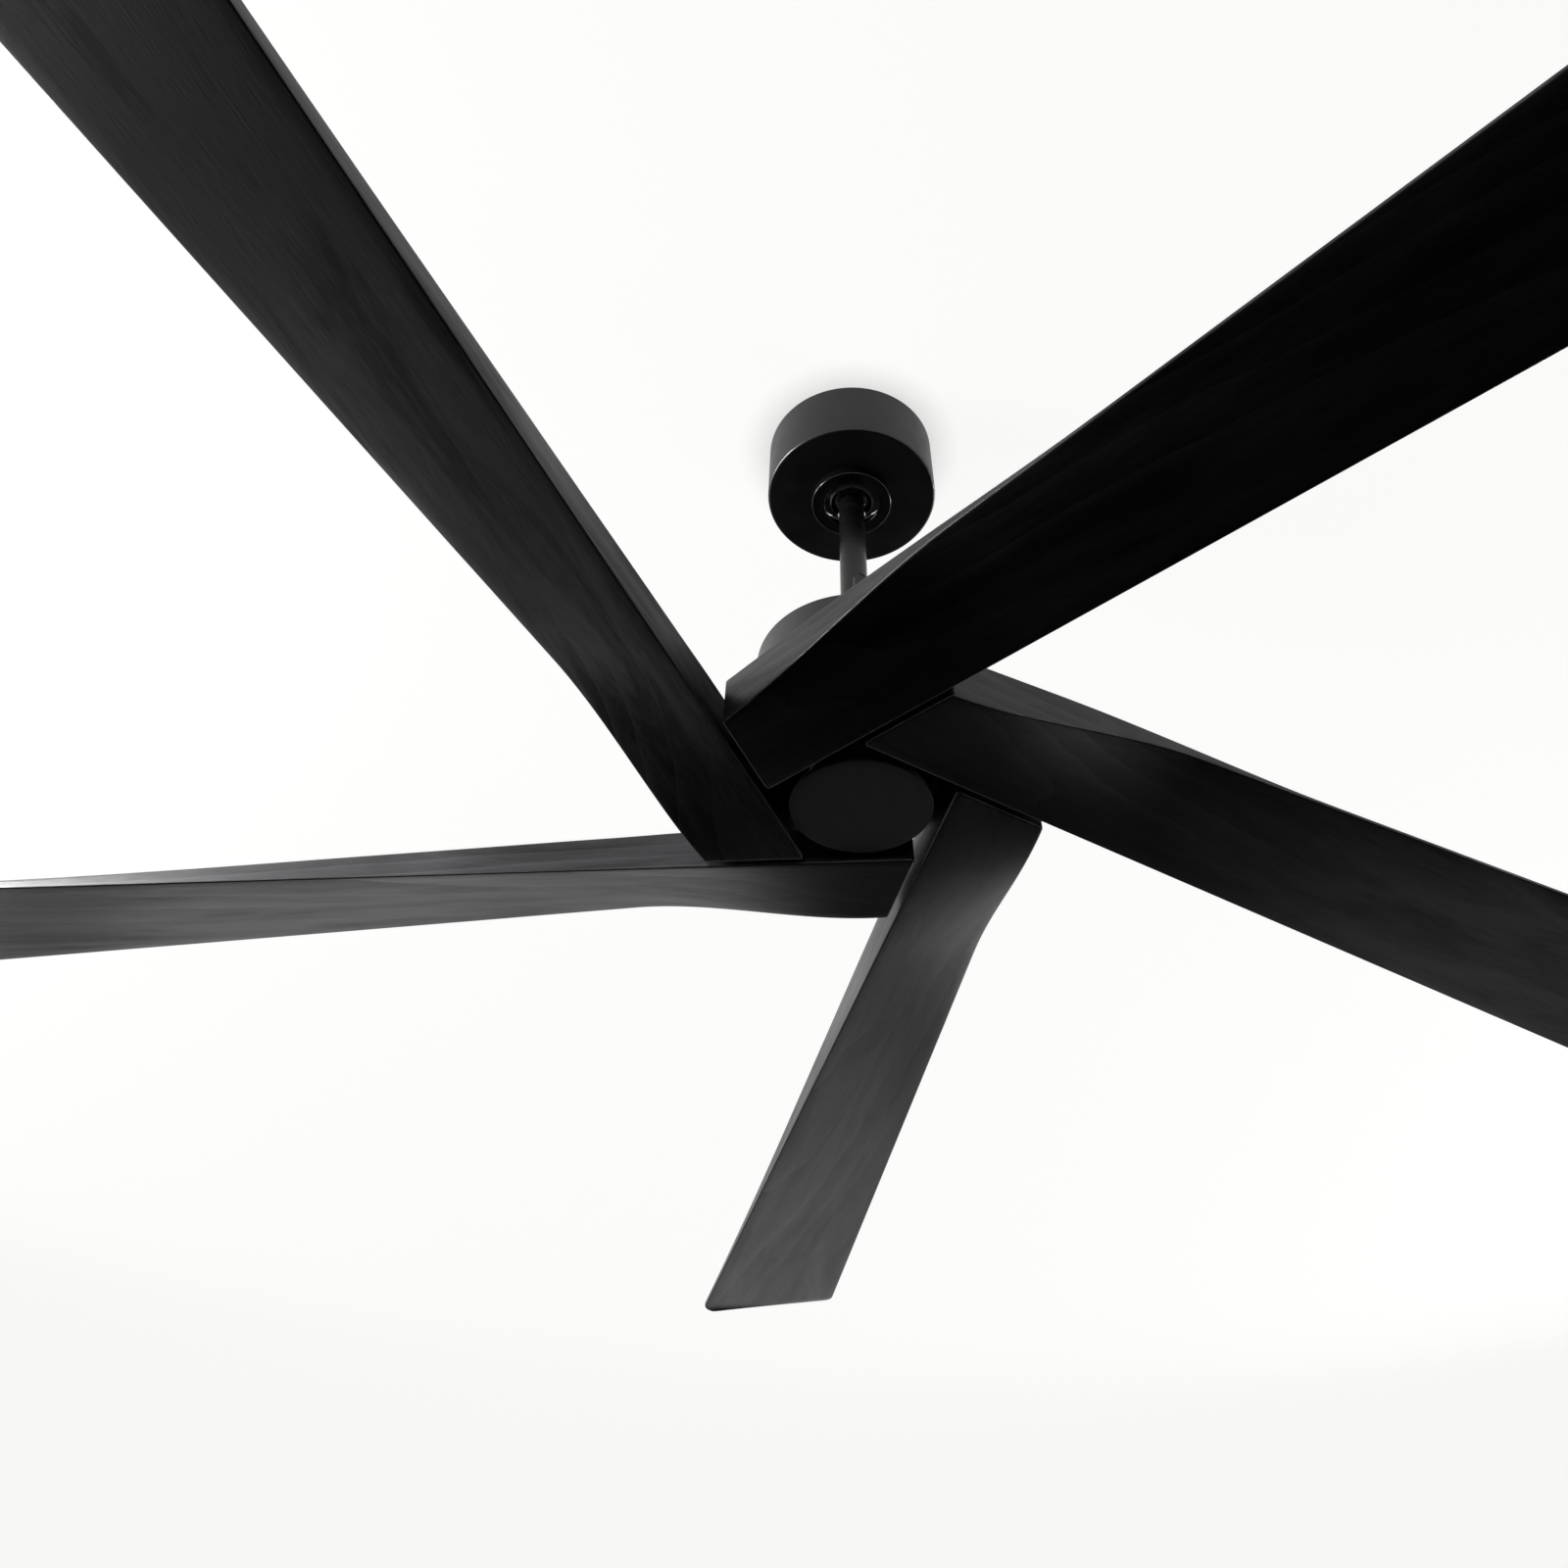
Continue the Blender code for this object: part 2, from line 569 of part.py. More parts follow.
def make_ball_joint(pivot):
    """Seat liner, hanger ball and the cross pin that carries the rod."""
    inner_end = -math.degrees(math.acos(SOCKET_LIP_RADIUS / LINER_INNER_RADIUS))
    outer_end = -math.degrees(math.acos(SOCKET_LIP_RADIUS / LINER_OUTER_RADIUS))
    outer_top = -math.degrees(math.asin(LINER_TOP_DROP / LINER_OUTER_RADIUS))
    inner_top = -math.degrees(math.asin(LINER_TOP_DROP / LINER_INNER_RADIUS))
    profile = (arc((0, 0), LINER_OUTER_RADIUS, outer_top, outer_end, ARC_STEPS)
               + arc((0, 0), LINER_INNER_RADIUS, inner_end, inner_top, BALL_ARC_STEPS))
    liner = put("seat_liner", turned("seat_liner", profile, ROUND_STEPS), nylon, pivot)
    cut(liner, bpy.data.objects["rod_entry"])
    bore = ROD_RADIUS + GAP
    top = math.degrees(math.asin(BALL_TOP_RISE / BALL_RADIUS))
    end = -math.degrees(math.acos(bore / BALL_RADIUS))
    ball = (arc((0, 0), BALL_RADIUS, top, end, 2 * ARC_STEPS) + [(bore, BALL_TOP_RISE)])
    put("hanger_ball", turned("hanger_ball", ball, ROUND_STEPS), gloss, pivot)
    rise = BALL_TOP_RISE + GAP + BALL_PIN_RADIUS
    pin = bar("ball_pin", BALL_PIN_RADIUS, BALL_PIN_LENGTH, SCREW_STEPS, BALL_PIN_EDGE)
    put("ball_pin", pin, bright, pivot, place=(0, 0, rise), turn=(math.pi / 2, 0, 0))
    return rise


def make_downrod(pivot, pin_rise):
    """Hollow rod from the ball to the yoke, drilled for its two pins."""
    foot = FAN_DROP - BALL_DROP - ROD_BOTTOM
    bore = ROD_RADIUS - ROD_WALL
    profile = [(ROD_RADIUS - ROD_EDGE, ROD_TOP_RISE), (ROD_RADIUS, ROD_TOP_RISE - ROD_EDGE),
               (ROD_RADIUS, ROD_EDGE - foot), (ROD_RADIUS - ROD_EDGE, -foot), (bore, -foot),
               (bore, ROD_TOP_RISE)]
    rod = put("downrod", turned("downrod", profile, ROUND_STEPS), black, pivot)
    upper = bar("rod_hole_upper", BALL_PIN_RADIUS + GAP, BALL_PIN_LENGTH, SCREW_STEPS)
    cut(rod, put("rod_hole_upper", upper, None, pivot, (0, 0, pin_rise), (math.pi / 2, 0, 0),
                 cutter=True))
    return rod


def ear_turn():
    """Rotation that lays the Z axis along the yoke's pin, square to its ears."""
    return (math.pi / 2, 0, YOKE_EAR_ANGLE + math.pi / 2)


def make_yoke(motor, rod):
    """Yoke on the housing: a collar on the shaft and two round-topped ears beside the rod."""
    bore = SHAFT_RADIUS + GAP
    corner = (YOKE_COLLAR_RADIUS + YOKE_FILLET, YOKE_FLANGE_THICKNESS + YOKE_FILLET)
    profile = ([(YOKE_COLLAR_RADIUS, YOKE_COLLAR_HEIGHT)]
               + arc(corner, YOKE_FILLET, 180, 270, CORNER_STEPS)
               + [(YOKE_FLANGE_RADIUS, YOKE_FLANGE_THICKNESS), (YOKE_FLANGE_RADIUS, 0),
                  (bore, 0), (bore, YOKE_COLLAR_HEIGHT)])
    yoke = put("yoke", turned("yoke", profile, ROUND_STEPS), black, motor,
               place=(0, 0, YOKE_BASE))
    half = YOKE_EAR_WIDTH / 2
    foot = YOKE_FLANGE_THICKNESS + YOKE_BASE
    outline = ([(half, foot)] + arc((0, YOKE_TOP - half), half, 0, 180, 2 * ARC_STEPS)
               + [(-half, foot)])
    out = Vector((math.cos(YOKE_EAR_ANGLE), math.sin(YOKE_EAR_ANGLE), 0))
    for way, tag in ((1, "front"), (-1, "back")):
        ear = slab("ear_" + tag, [outline], YOKE_EAR_THICKNESS)
        middle = out * way * (EAR_INNER + EAR_OUTER) / 2
        join(yoke, put("ear_" + tag, ear, None, motor, middle, ear_turn(), cutter=True))
    rise = Vector((0, 0, CLEVIS_RISE))
    hole = bar("clevis_hole", CLEVIS_PIN_RADIUS + GAP, 2 * (EAR_OUTER + OVERRUN), 2 * SCREW_STEPS)
    hole = put("clevis_hole", hole, None, motor, rise, ear_turn(), cutter=True)
    cut(yoke, hole)
    cut(rod, hole)
    screw_turn = (0, 0, YOKE_EAR_ANGLE + math.pi / 2)
    side = put("set_screw_hole",
               bar("set_screw_hole", SET_SCREW_RADIUS + GAP, 2 * (YOKE_COLLAR_RADIUS + OVERRUN),
                   SCREW_STEPS),
               None, motor, (0, 0, YOKE_BASE + SET_SCREW_RISE), (0, math.pi / 2, screw_turn[2]),
               cutter=True)
    cut(yoke, side)
    for number in range(1, YOKE_SCREW_COUNT + 1):
        angle = YOKE_EAR_ANGLE + math.tau * number / YOKE_SCREW_COUNT
        spot = (YOKE_SCREW_CIRCLE * math.cos(angle), YOKE_SCREW_CIRCLE * math.sin(angle), 0)
        top = Vector(spot) + Vector((0, 0, YOKE_BASE + YOKE_FLANGE_THICKNESS + GAP))
        hole = bar("yoke_hole", YOKE_SCREW_RADIUS + GAP, 2 * YOKE_COLLAR_RADIUS, SCREW_STEPS)
        hole = put("yoke_hole", hole, None, motor, Vector(spot) + Vector((0, 0, HOUSING_TOP)),
                   cutter=True)
        cut(yoke, hole)
        cut(bpy.data.objects["motor_housing"], hole)
        seat = bar("yoke_spot_face", YOKE_SCREW_HEAD_RADIUS + GAP, 2 * YOKE_FILLET, SCREW_STEPS)
        cut(yoke, put("yoke_spot_face", seat, None, motor,
                      top + Vector((0, 0, YOKE_FILLET - GAP)), cutter=True))
        length = YOKE_FLANGE_THICKNESS + HOUSING_ROOF + 2 * GAP + YOKE_SCREW_END
        name = "yoke_screw_%d" % number
        put(name, cap_screw(name, YOKE_SCREW_RADIUS, length, YOKE_SCREW_HEAD_RADIUS,
                            YOKE_SCREW_HEAD_HEIGHT), bright, motor, top)
    for way, number in ((1, 1), (-1, 2)):
        start = SHAFT_RADIUS + GAP
        length = YOKE_COLLAR_RADIUS + SET_SCREW_PROUD - start
        along = Vector((-math.sin(YOKE_EAR_ANGLE), math.cos(YOKE_EAR_ANGLE), 0))
        spot = along * way * (start + length / 2) + Vector((0, 0, YOKE_BASE + SET_SCREW_RISE))
        name = "yoke_set_screw_%d" % number
        put(name, bar(name, SET_SCREW_RADIUS, length, SCREW_STEPS, BALL_PIN_EDGE), bright, motor,
            spot, (0, math.pi / 2, screw_turn[2]))
    make_clevis(motor, out)


def make_clevis(motor, out):
    """Clevis pin through the ears and the rod, with a retaining clip on its far end."""
    reach = EAR_OUTER + GAP
    profile = [(0, reach + CLEVIS_HEAD_HEIGHT),
               (CLEVIS_HEAD_RADIUS - BALL_PIN_EDGE, reach + CLEVIS_HEAD_HEIGHT),
               (CLEVIS_HEAD_RADIUS, reach + CLEVIS_HEAD_HEIGHT - BALL_PIN_EDGE),
               (CLEVIS_HEAD_RADIUS, reach), (CLEVIS_PIN_RADIUS, reach),
               (CLEVIS_PIN_RADIUS, BALL_PIN_EDGE - reach - CLEVIS_END),
               (CLEVIS_PIN_RADIUS - BALL_PIN_EDGE, -reach - CLEVIS_END),
               (0, -reach - CLEVIS_END)]
    turn = ear_turn()
    put("clevis_pin", turned("clevis_pin", profile, 2 * SCREW_STEPS), bright, motor,
        (0, 0, CLEVIS_RISE), turn)
    bore = CLEVIS_PIN_RADIUS + GAP
    half = CLEVIS_CLIP_THICKNESS / 2
    ring = [(CLEVIS_CLIP_RADIUS, half), (CLEVIS_CLIP_RADIUS, -half), (bore, -half), (bore, half)]
    far = Vector((0, 0, CLEVIS_RISE)) + Matrix.Rotation(turn[2], 3, "Z") @ (
        Matrix.Rotation(turn[0], 3, "X") @ Vector((0, 0, -reach - half)))
    put("clevis_clip", turned("clevis_clip", ring, 2 * SCREW_STEPS), bright, motor, far, turn)


# Motor

def make_housing(motor):
    """Still motor housing: a plain can, open below."""
    low = HOUSING_TOP - HOUSING_HEIGHT
    bore = HOUSING_RADIUS - HOUSING_WALL
    edge = (HOUSING_RADIUS - HOUSING_EDGE, HOUSING_TOP - HOUSING_EDGE)
    profile = (arc(edge, HOUSING_EDGE, 90, 0, CORNER_STEPS)
               + [(HOUSING_RADIUS, low), (bore, low), (bore, HOUSING_TOP - HOUSING_ROOF),
                  (HOUSING_HOLE_RADIUS, HOUSING_TOP - HOUSING_ROOF),
                  (HOUSING_HOLE_RADIUS, HOUSING_TOP)])
    put("motor_housing", turned("motor_housing", profile, FINE_STEPS), black, motor)


def stator_outline():
    """Outline of the stator's laminations, a T-shaped tooth for each coil."""
    points = []
    pitch = math.tau / TOOTH_COUNT
    neck = STATOR_RADIUS - STATOR_SHOE
    waist = STATOR_YOKE_RADIUS * pitch * TOOTH_WIDTH_SHARE / 2
    for tooth in range(TOOTH_COUNT):
        middle = tooth * pitch
        shoe = pitch * SHOE_WIDTH_SHARE / 2
        root = math.asin(waist / STATOR_YOKE_RADIUS)
        tip = math.asin(waist / neck)
        points += [(STATOR_YOKE_RADIUS, middle - root), (neck, middle - tip),
                   (neck + STATOR_SHOE / 2, middle - shoe), (STATOR_RADIUS, middle - shoe),
                   (STATOR_RADIUS, middle), (STATOR_RADIUS, middle + shoe),
                   (neck + STATOR_SHOE / 2, middle + shoe), (neck, middle + tip),
                   (STATOR_YOKE_RADIUS, middle + root)]
    return [(radius * math.cos(angle), radius * math.sin(angle)) for radius, angle in points]


def make_stator(motor):
    """Shaft, its circlip, the toothed core and the two rings of end windings."""
    top = COLLAR_TOP - SHAFT_TOP_MARGIN
    shaft = [(SHAFT_RADIUS - SHAFT_EDGE, top), (SHAFT_RADIUS, top - SHAFT_EDGE),
             (SHAFT_RADIUS, SHAFT_BOTTOM + SHAFT_EDGE), (SHAFT_RADIUS - SHAFT_EDGE, SHAFT_BOTTOM),
             (SHAFT_BORE_RADIUS, SHAFT_BOTTOM), (SHAFT_BORE_RADIUS, top)]
    put("motor_shaft", turned("motor_shaft", shaft, SMALL_STEPS), bright, motor)
    bore = SHAFT_RADIUS + GAP
    rise = SHELL_BOTTOM + SHELL_FLOOR
    clip = [(CIRCLIP_RADIUS, rise), (CIRCLIP_RADIUS, rise - CIRCLIP_THICKNESS),
            (bore, rise - CIRCLIP_THICKNESS), (bore, rise)]
    put("shaft_circlip", turned("shaft_circlip", clip, SMALL_STEPS), bright, motor)
    hole = arc((0, 0), bore, 0, 360 - 360 / SMALL_STEPS, SMALL_STEPS - 1)
    put("stator_core", slab("stator_core", [stator_outline(), hole], STATOR_HEIGHT), core_steel,
        motor, (0, 0, MOTOR_MIDDLE))
    inner = STATOR_YOKE_RADIUS
    face = STATOR_HEIGHT / 2 + GAP
    ring = [(COIL_RADIUS - COIL_EDGE, COIL_HEIGHT), (COIL_RADIUS, COIL_HEIGHT - COIL_EDGE),
            (COIL_RADIUS, 0), (inner, 0), (inner, COIL_HEIGHT - COIL_EDGE),
            (inner + COIL_EDGE, COIL_HEIGHT)]
    coils = turned("coil_ring_upper", ring, COIL_STEPS)
    put("coil_ring_upper", coils, copper, motor, (0, 0, MOTOR_MIDDLE + face))
    put("coil_ring_lower", coils, copper, motor, (0, 0, MOTOR_MIDDLE - face), (math.pi, 0, 0))


def bearing_profile(rise):
    """Ring of a ball bearing, its outer edges eased."""
    bore = SHAFT_RADIUS + GAP
    top = rise + BEARING_WIDTH
    return [(BEARING_RADIUS - BEARING_EDGE, top), (BEARING_RADIUS, top - BEARING_EDGE),
            (BEARING_RADIUS, rise + BEARING_EDGE), (BEARING_RADIUS - BEARING_EDGE, rise),
            (bore, rise), (bore, top)]


def make_rotor(spin):
    """Turning shell and cover with their bearings, and the magnet ring."""
    floor = SHELL_BOTTOM + SHELL_FLOOR
    seat_top = floor + BEARING_WIDTH
    seat_outer = BEARING_SEAT_RADIUS + BEARING_SEAT_WALL
    profile = ([(SHELL_RADIUS, SHELL_TOP)]
               + arc((SHELL_RADIUS - SHELL_EDGE, SHELL_BOTTOM + SHELL_EDGE), SHELL_EDGE, 0, -90, 2)
               + [(BEARING_HOLE_RADIUS, SHELL_BOTTOM), (BEARING_HOLE_RADIUS, floor),
                  (BEARING_SEAT_RADIUS, floor), (BEARING_SEAT_RADIUS, seat_top),
                  (seat_outer, seat_top), (seat_outer, floor), (SHELL_BORE, floor),
                  (SHELL_BORE, SHELL_TOP)])
    shell = put("rotor_shell", turned("rotor_shell", profile, ROUND_STEPS), alloy, spin)
    put("bearing_lower", turned("bearing_lower", bearing_profile(floor + GAP), SMALL_STEPS),
        bright, spin)
    top = COVER_BOTTOM + SHELL_FLOOR
    seat_top = top + BEARING_WIDTH
    cover = [(SHELL_RADIUS - SHELL_EDGE, top), (SHELL_RADIUS, top - SHELL_EDGE),
             (SHELL_RADIUS, COVER_BOTTOM), (BEARING_HOLE_RADIUS, COVER_BOTTOM),
             (BEARING_HOLE_RADIUS, top), (BEARING_SEAT_RADIUS, top),
             (BEARING_SEAT_RADIUS, seat_top), (seat_outer, seat_top), (seat_outer, top)]
    put("rotor_cover", turned("rotor_cover", cover, ROUND_STEPS), alloy, spin)
    put("bearing_upper", turned("bearing_upper", bearing_profile(top + GAP), SMALL_STEPS),
        bright, spin)
    half = MAGNET_HEIGHT / 2
    ring = [(MAGNET_OUTER, MOTOR_MIDDLE + half), (MAGNET_OUTER, MOTOR_MIDDLE - half),
            (MAGNET_INNER, MOTOR_MIDDLE - half), (MAGNET_INNER, MOTOR_MIDDLE + half)]
    put("magnet_ring", turned("magnet_ring", ring, ROUND_STEPS), magnet, spin)
    return shell


# Blade carrier

def make_carrier(spin, stations, shell):
    """Cast carrier: hollow boss, web and an arm that slopes with the top of each blade."""
    low = CAP_BACK + GAP
    inside = BOSS_RADIUS - BOSS_WALL
    slope = math.tan(SEAT_SLOPE)
    web_low = ARM_FOOT - slope * (BLADE_OFFSET - ARM_ROOT_RADIUS)
    web_top = web_low + ARM_THICKNESS
    profile = [(BOSS_RADIUS, BOSS_TOP), (BOSS_RADIUS, web_top), (WEB_RADIUS, web_top),
               (WEB_RADIUS, web_low), (BOSS_RADIUS, web_low), (BOSS_RADIUS, low), (inside, low),
               (inside, BOSS_TOP - BOSS_ROOF), (BOSS_PILOT_RADIUS, BOSS_TOP - BOSS_ROOF),
               (BOSS_PILOT_RADIUS, BOSS_TOP)]
    carrier = put("blade_carrier", turned("blade_carrier", profile, ROUND_STEPS), black, spin)
    root = ARM_ROOT_RADIUS - BLADE_OFFSET
    outline = [(root, -ARM_BACK_WIDTH), (ARM_REACH, -ARM_BACK_WIDTH * ARM_END_SHARE),
               (ARM_REACH, ARM_FRONT_WIDTH * ARM_END_SHARE), (root, ARM_FRONT_WIDTH)]
    arm = slab("arm", [rounded(outline, ARM_CORNER)], ARM_THICKNESS)
    for index, seat in enumerate(stations):
        join(carrier, put("arm_%d" % (index + 1), arm, None, seat, (0, 0, ARM_THICKNESS / 2),
                          cutter=True))
    hole = bar("arm_hole", BLADE_SCREW_RADIUS + GAP, 4 * ARM_THICKNESS, SCREW_STEPS)
    for seat in stations:
        for across, along in blade_screw_places():
            cut(carrier, put("arm_hole", hole, None, seat, (across, along, 0), cutter=True))
    length = BOSS_ROOF + 2 * GAP + ROTOR_SCREW_END
    screw = cap_screw("rotor_screw", ROTOR_SCREW_RADIUS, length, ROTOR_SCREW_HEAD_RADIUS,
                      ROTOR_SCREW_HEAD_HEIGHT)
    way = bar("rotor_hole", ROTOR_SCREW_RADIUS + GAP, 2 * BOSS_ROOF + OVERRUN, SCREW_STEPS)
    for index in range(BLADE_COUNT):
        angle = FIRST_BLADE_ANGLE + index * STEP_ANGLE
        spot = Vector((math.cos(angle), math.sin(angle), 0)) * ROTOR_SCREW_CIRCLE
        hole = put("rotor_hole", way, None, spin, spot + Vector((0, 0, BOSS_TOP)), cutter=True)
        cut(carrier, hole)
        cut(shell, hole)
        put("rotor_screw_%d" % (index + 1), screw, bright, spin,
            spot + Vector((0, 0, BOSS_TOP - BOSS_ROOF - GAP)), (math.pi, 0, 0))


def blade_screw_places():
    """Places of a blade's three screws on its sloping seat, across and along the blade."""
    return ((BLADE_SCREW_NEAR, -BLADE_SCREW_BACK), (BLADE_SCREW_NEAR, BLADE_SCREW_FRONT),
            (BLADE_SCREW_FAR, BLADE_SCREW_MIDDLE))


def make_cap(spin):
    """Round bottom cap with a spigot that plugs into the boss."""
    top = CAP_BACK + CAP_SPIGOT_HEIGHT
    profile = ([(CAP_RADIUS, CAP_BACK)]
               + arc((CAP_RADIUS - CAP_EDGE, CAP_EDGE), CAP_EDGE, 0, -90, CORNER_STEPS)
               + [(0, 0), (0, CAP_BACK), (SPIGOT_RADIUS - CAP_SPIGOT_WALL, CAP_BACK),
                  (SPIGOT_RADIUS - CAP_SPIGOT_WALL, top), (SPIGOT_RADIUS, top),
                  (SPIGOT_RADIUS, CAP_BACK)])
    ring = profile[profile.index((0, CAP_BACK)):] + profile[:profile.index((0, CAP_BACK))]
    put("bottom_cap", turned("bottom_cap", ring, FINE_STEPS), cap_paint, spin)


# Blades

def blade_width(along):
    """Width of the blade at a place along it: a straight taper from root to tip."""
    return BLADE_ROOT_WIDTH + (BLADE_TIP_WIDTH - BLADE_ROOT_WIDTH) * along / BLADE_REACH


def root_line(across):
    """Where the root ends: parallel to the neighbour's inner face, one joint gap away."""
    offset = across * math.cos(STEP_ANGLE) - BLADE_OFFSET + BLADE_JOINT_GAP
    return offset / math.sin(STEP_ANGLE)


def blade_corner_heights(along):
    """Heights of the section's inner bottom, outer bottom, outer top and inner top corners."""
    way = min(max((along - BLADE_SEAT_END) / (BLADE_REACH - BLADE_SEAT_END), 0), 1)
    fall = BLADE_ROOT_HEIGHT_INNER - BLADE_TIP_HEIGHT_INNER
    inner = BLADE_LOW + BLADE_TIP_HEIGHT_INNER + fall * eased_table(CREST_SHARES, way)
    outer_low = BLADE_LOW + BLADE_LIFT * smoothstep(along, SWEEP_START, SWEEP_END)
    block_top = BLADE_SEAT + math.tan(SEAT_SLOPE) * blade_width(along)
    thin_top = BLADE_LOW + BLADE_LIFT + BLADE_OUTER_THICKNESS
    shoulder = smoothstep(along, SHOULDER_START, SHOULDER_END)
    outer_top = block_top + (thin_top - block_top) * shoulder
    return BLADE_LOW, outer_low, outer_top, inner


def fillet_inset(distance, radius):
    """How far a rounded corner stands back from its side at a distance from the end."""
    share = 1 - min(distance / radius, 1)
    return radius * (1 - math.sqrt(1 - share ** 2))


def blade_section(station, skew, inset, inner_inset, outer_inset):
    """One ring of points: a four-cornered section with rounded corners, skewed at the root."""
    inner = BLADE_OFFSET + inset + inner_inset

    def place(across):
        return station + skew * (root_line(across) - root_line(BLADE_OFFSET))

    edge_place = place(BLADE_OFFSET + BLADE_ROOT_WIDTH)
    outer = BLADE_OFFSET + blade_width(edge_place) - inset - outer_inset
    low_in, low_out, top_out, top_in = blade_corner_heights(station)
    if skew > 0:
        low_out, top_out = blade_corner_heights(edge_place)[1:3]
    corners = [(inner, low_in + inset), (outer, low_out + inset), (outer, top_out - inset),
               (inner, top_in - inset)]
    points = []
    for index, point in enumerate(rounded(corners, BLADE_EDGE, 2)):
        points.append(point)
        if index == 2:
            nxt = corners[1]
            for share in FACE_SHARES:
                points.append((point[0] + (nxt[0] - point[0]) * share,
                               point[1] + (nxt[1] - point[1]) * share))
    return [Vector((across, place(across), height)) for across, height in points]


def blade_rings():
    """All sections of the blade, from the skewed root end to the rounded tip."""
    start = root_line(BLADE_OFFSET)
    rings = []
    for share in ROOT_END_SHARES:
        distance = BLADE_ROOT_CORNER * share
        inset = fillet_inset(distance, BLADE_EDGE)
        corner = fillet_inset(distance, BLADE_ROOT_CORNER) - inset
        rings.append(blade_section(start + distance, 1, inset, corner, 0))
    start += BLADE_ROOT_CORNER
    for share in ROOT_SECTION_SHARES:
        rings.append(blade_section(start + (SKEW_END - start) * share, 1 - share, 0, 0, 0))
    end = BLADE_REACH - BLADE_TIP_CORNER
    for share in SECTION_SHARES:
        rings.append(blade_section(SKEW_END + (end - SKEW_END) * share, 0, 0, 0, 0))
    for k in range(ARC_STEPS):
        angle = math.pi / 2 * k / (ARC_STEPS - 1)
        pinch = BLADE_EDGE / 2 if k == ARC_STEPS - 1 else 0
        side = BLADE_TIP_CORNER * (1 - math.cos(angle))
        rings.append(blade_section(end + BLADE_TIP_CORNER * math.sin(angle), 0, pinch, side, side))
    return rings


def blade_mesh():
    """Loft the blade through its sections and drill it for its screws."""
    mesh = bpy.data.meshes.new("blade")
    work = bmesh.new()
    rings = [[work.verts.new(point) for point in ring] for ring in blade_rings()]
    size = len(rings[0])
    for before, after in zip(rings, rings[1:]):
        for k in range(size):
            work.faces.new((before[k - 1], before[k], after[k], after[k - 1]))
    work.faces.new(rings[0])
    work.faces.new(rings[-1])
    bmesh.ops.recalc_face_normals(work, faces=work.faces)
    work.to_mesh(mesh)
    work.free()
    blank = put("blade_blank", mesh)
    seat = seat_empty("drill_seat", None, 0)
    depth = BLADE_SCREW_BITE + 2 * GAP
    hole = bar("blade_hole", BLADE_SCREW_RADIUS + GAP, 2 * depth, SCREW_STEPS)
    for across, along in blade_screw_places():
        cut(blank, put("blade_hole", hole, None, seat, (across, along, 0), cutter=True))
    return baked(blank)


def seat_empty(name, station, turn):
    """Frame of a blade's sloping seat: its origin on the inner edge, its Z square to the seat."""
    return empty(name, station, (BLADE_OFFSET, 0, ARM_FOOT), (0, -SEAT_SLOPE, turn))


def make_blades(spin, stations, bases):
    """Five blades and the screws that hold them up to the carrier."""
    mesh = blade_mesh()
    length = ARM_THICKNESS + GAP + BLADE_SCREW_BITE
    screw = cap_screw("blade_screw", BLADE_SCREW_RADIUS, length, BLADE_SCREW_HEAD_RADIUS,
                      BLADE_SCREW_HEAD_HEIGHT)
    for index, (seat, base) in enumerate(zip(stations, bases)):
        put("blade_%d" % (index + 1), mesh, oak, base)
        for number, (across, along) in enumerate(blade_screw_places()):
            put("blade_%d_screw_%d" % (index + 1, number + 1), screw, bright, seat,
                (across, along, ARM_THICKNESS + GAP))


# Build
for old in list(bpy.data.objects):
    bpy.data.objects.remove(old)
fan = bpy.data.collections.new("ceiling_fan")
cutters = bpy.data.collections.new("cutters")
bpy.context.scene.collection.children.link(fan)
bpy.context.scene.collection.children.link(cutters)

black = material("matte_black_paint", BLACK_PAINT, 0.48, 0.0)
cap_paint = material("cap_black_paint", CAP_PAINT, 0.55, 0.0)
gloss = material("black_gloss_ball", BLACK_GLOSS, 0.12, 0.0)
oak = material("black_stained_oak", BLACK_OAK, 0.50, 0.0)
zinc = material("zinc_plated_steel", ZINC_STEEL, 0.38, 0.9)
bright = material("bright_steel", BRIGHT_STEEL, 0.30, 0.9)
alloy = material("cast_alloy", CAST_ALLOY, 0.50, 0.8)
copper = material("enamelled_copper", COPPER, 0.35, 0.8)
magnet = material("ferrite_magnet", MAGNET_GREY, 0.60, 0.0)
core_steel = material("laminated_steel", CORE_GREY, 0.55, 0.6)
nylon = material("black_nylon", NYLON, 0.50, 0.0)
receiver_plastic = material("receiver_plastic", RECEIVER_PLASTIC, 0.45, 0.0)

make_bracket()
make_canopy()
make_receiver()
ball_centre = empty("ball_centre", None, (0, 0, -BALL_DROP))
motor_axis = empty("motor_axis", ball_centre, (0, 0, BALL_DROP - FAN_DROP))
spin_axis = empty("spin_axis", motor_axis)
blade_bases = [empty("blade_base_%d" % (k + 1), spin_axis, (0, 0, 0),
                     (0, 0, FIRST_BLADE_ANGLE + k * STEP_ANGLE)) for k in range(BLADE_COUNT)]
blade_seats = [seat_empty("blade_seat_%d" % (k + 1), blade_bases[k], 0)
               for k in range(BLADE_COUNT)]
ball_pin_rise = make_ball_joint(ball_centre)
downrod = make_downrod(ball_centre, ball_pin_rise)
make_housing(motor_axis)
make_yoke(motor_axis, downrod)
make_stator(motor_axis)
rotor_shell = make_rotor(spin_axis)
make_carrier(spin_axis, blade_seats, rotor_shell)
make_cap(spin_axis)
make_blades(spin_axis, blade_seats, blade_bases)
bpy.context.view_layer.update()
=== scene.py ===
"""Looks of the ceiling fan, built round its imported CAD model.

Every length is in metres and +Z is up.  The fan hangs from z = 0 and is seen from below, as in
the photograph, against a white ceiling.
"""
import json
import math

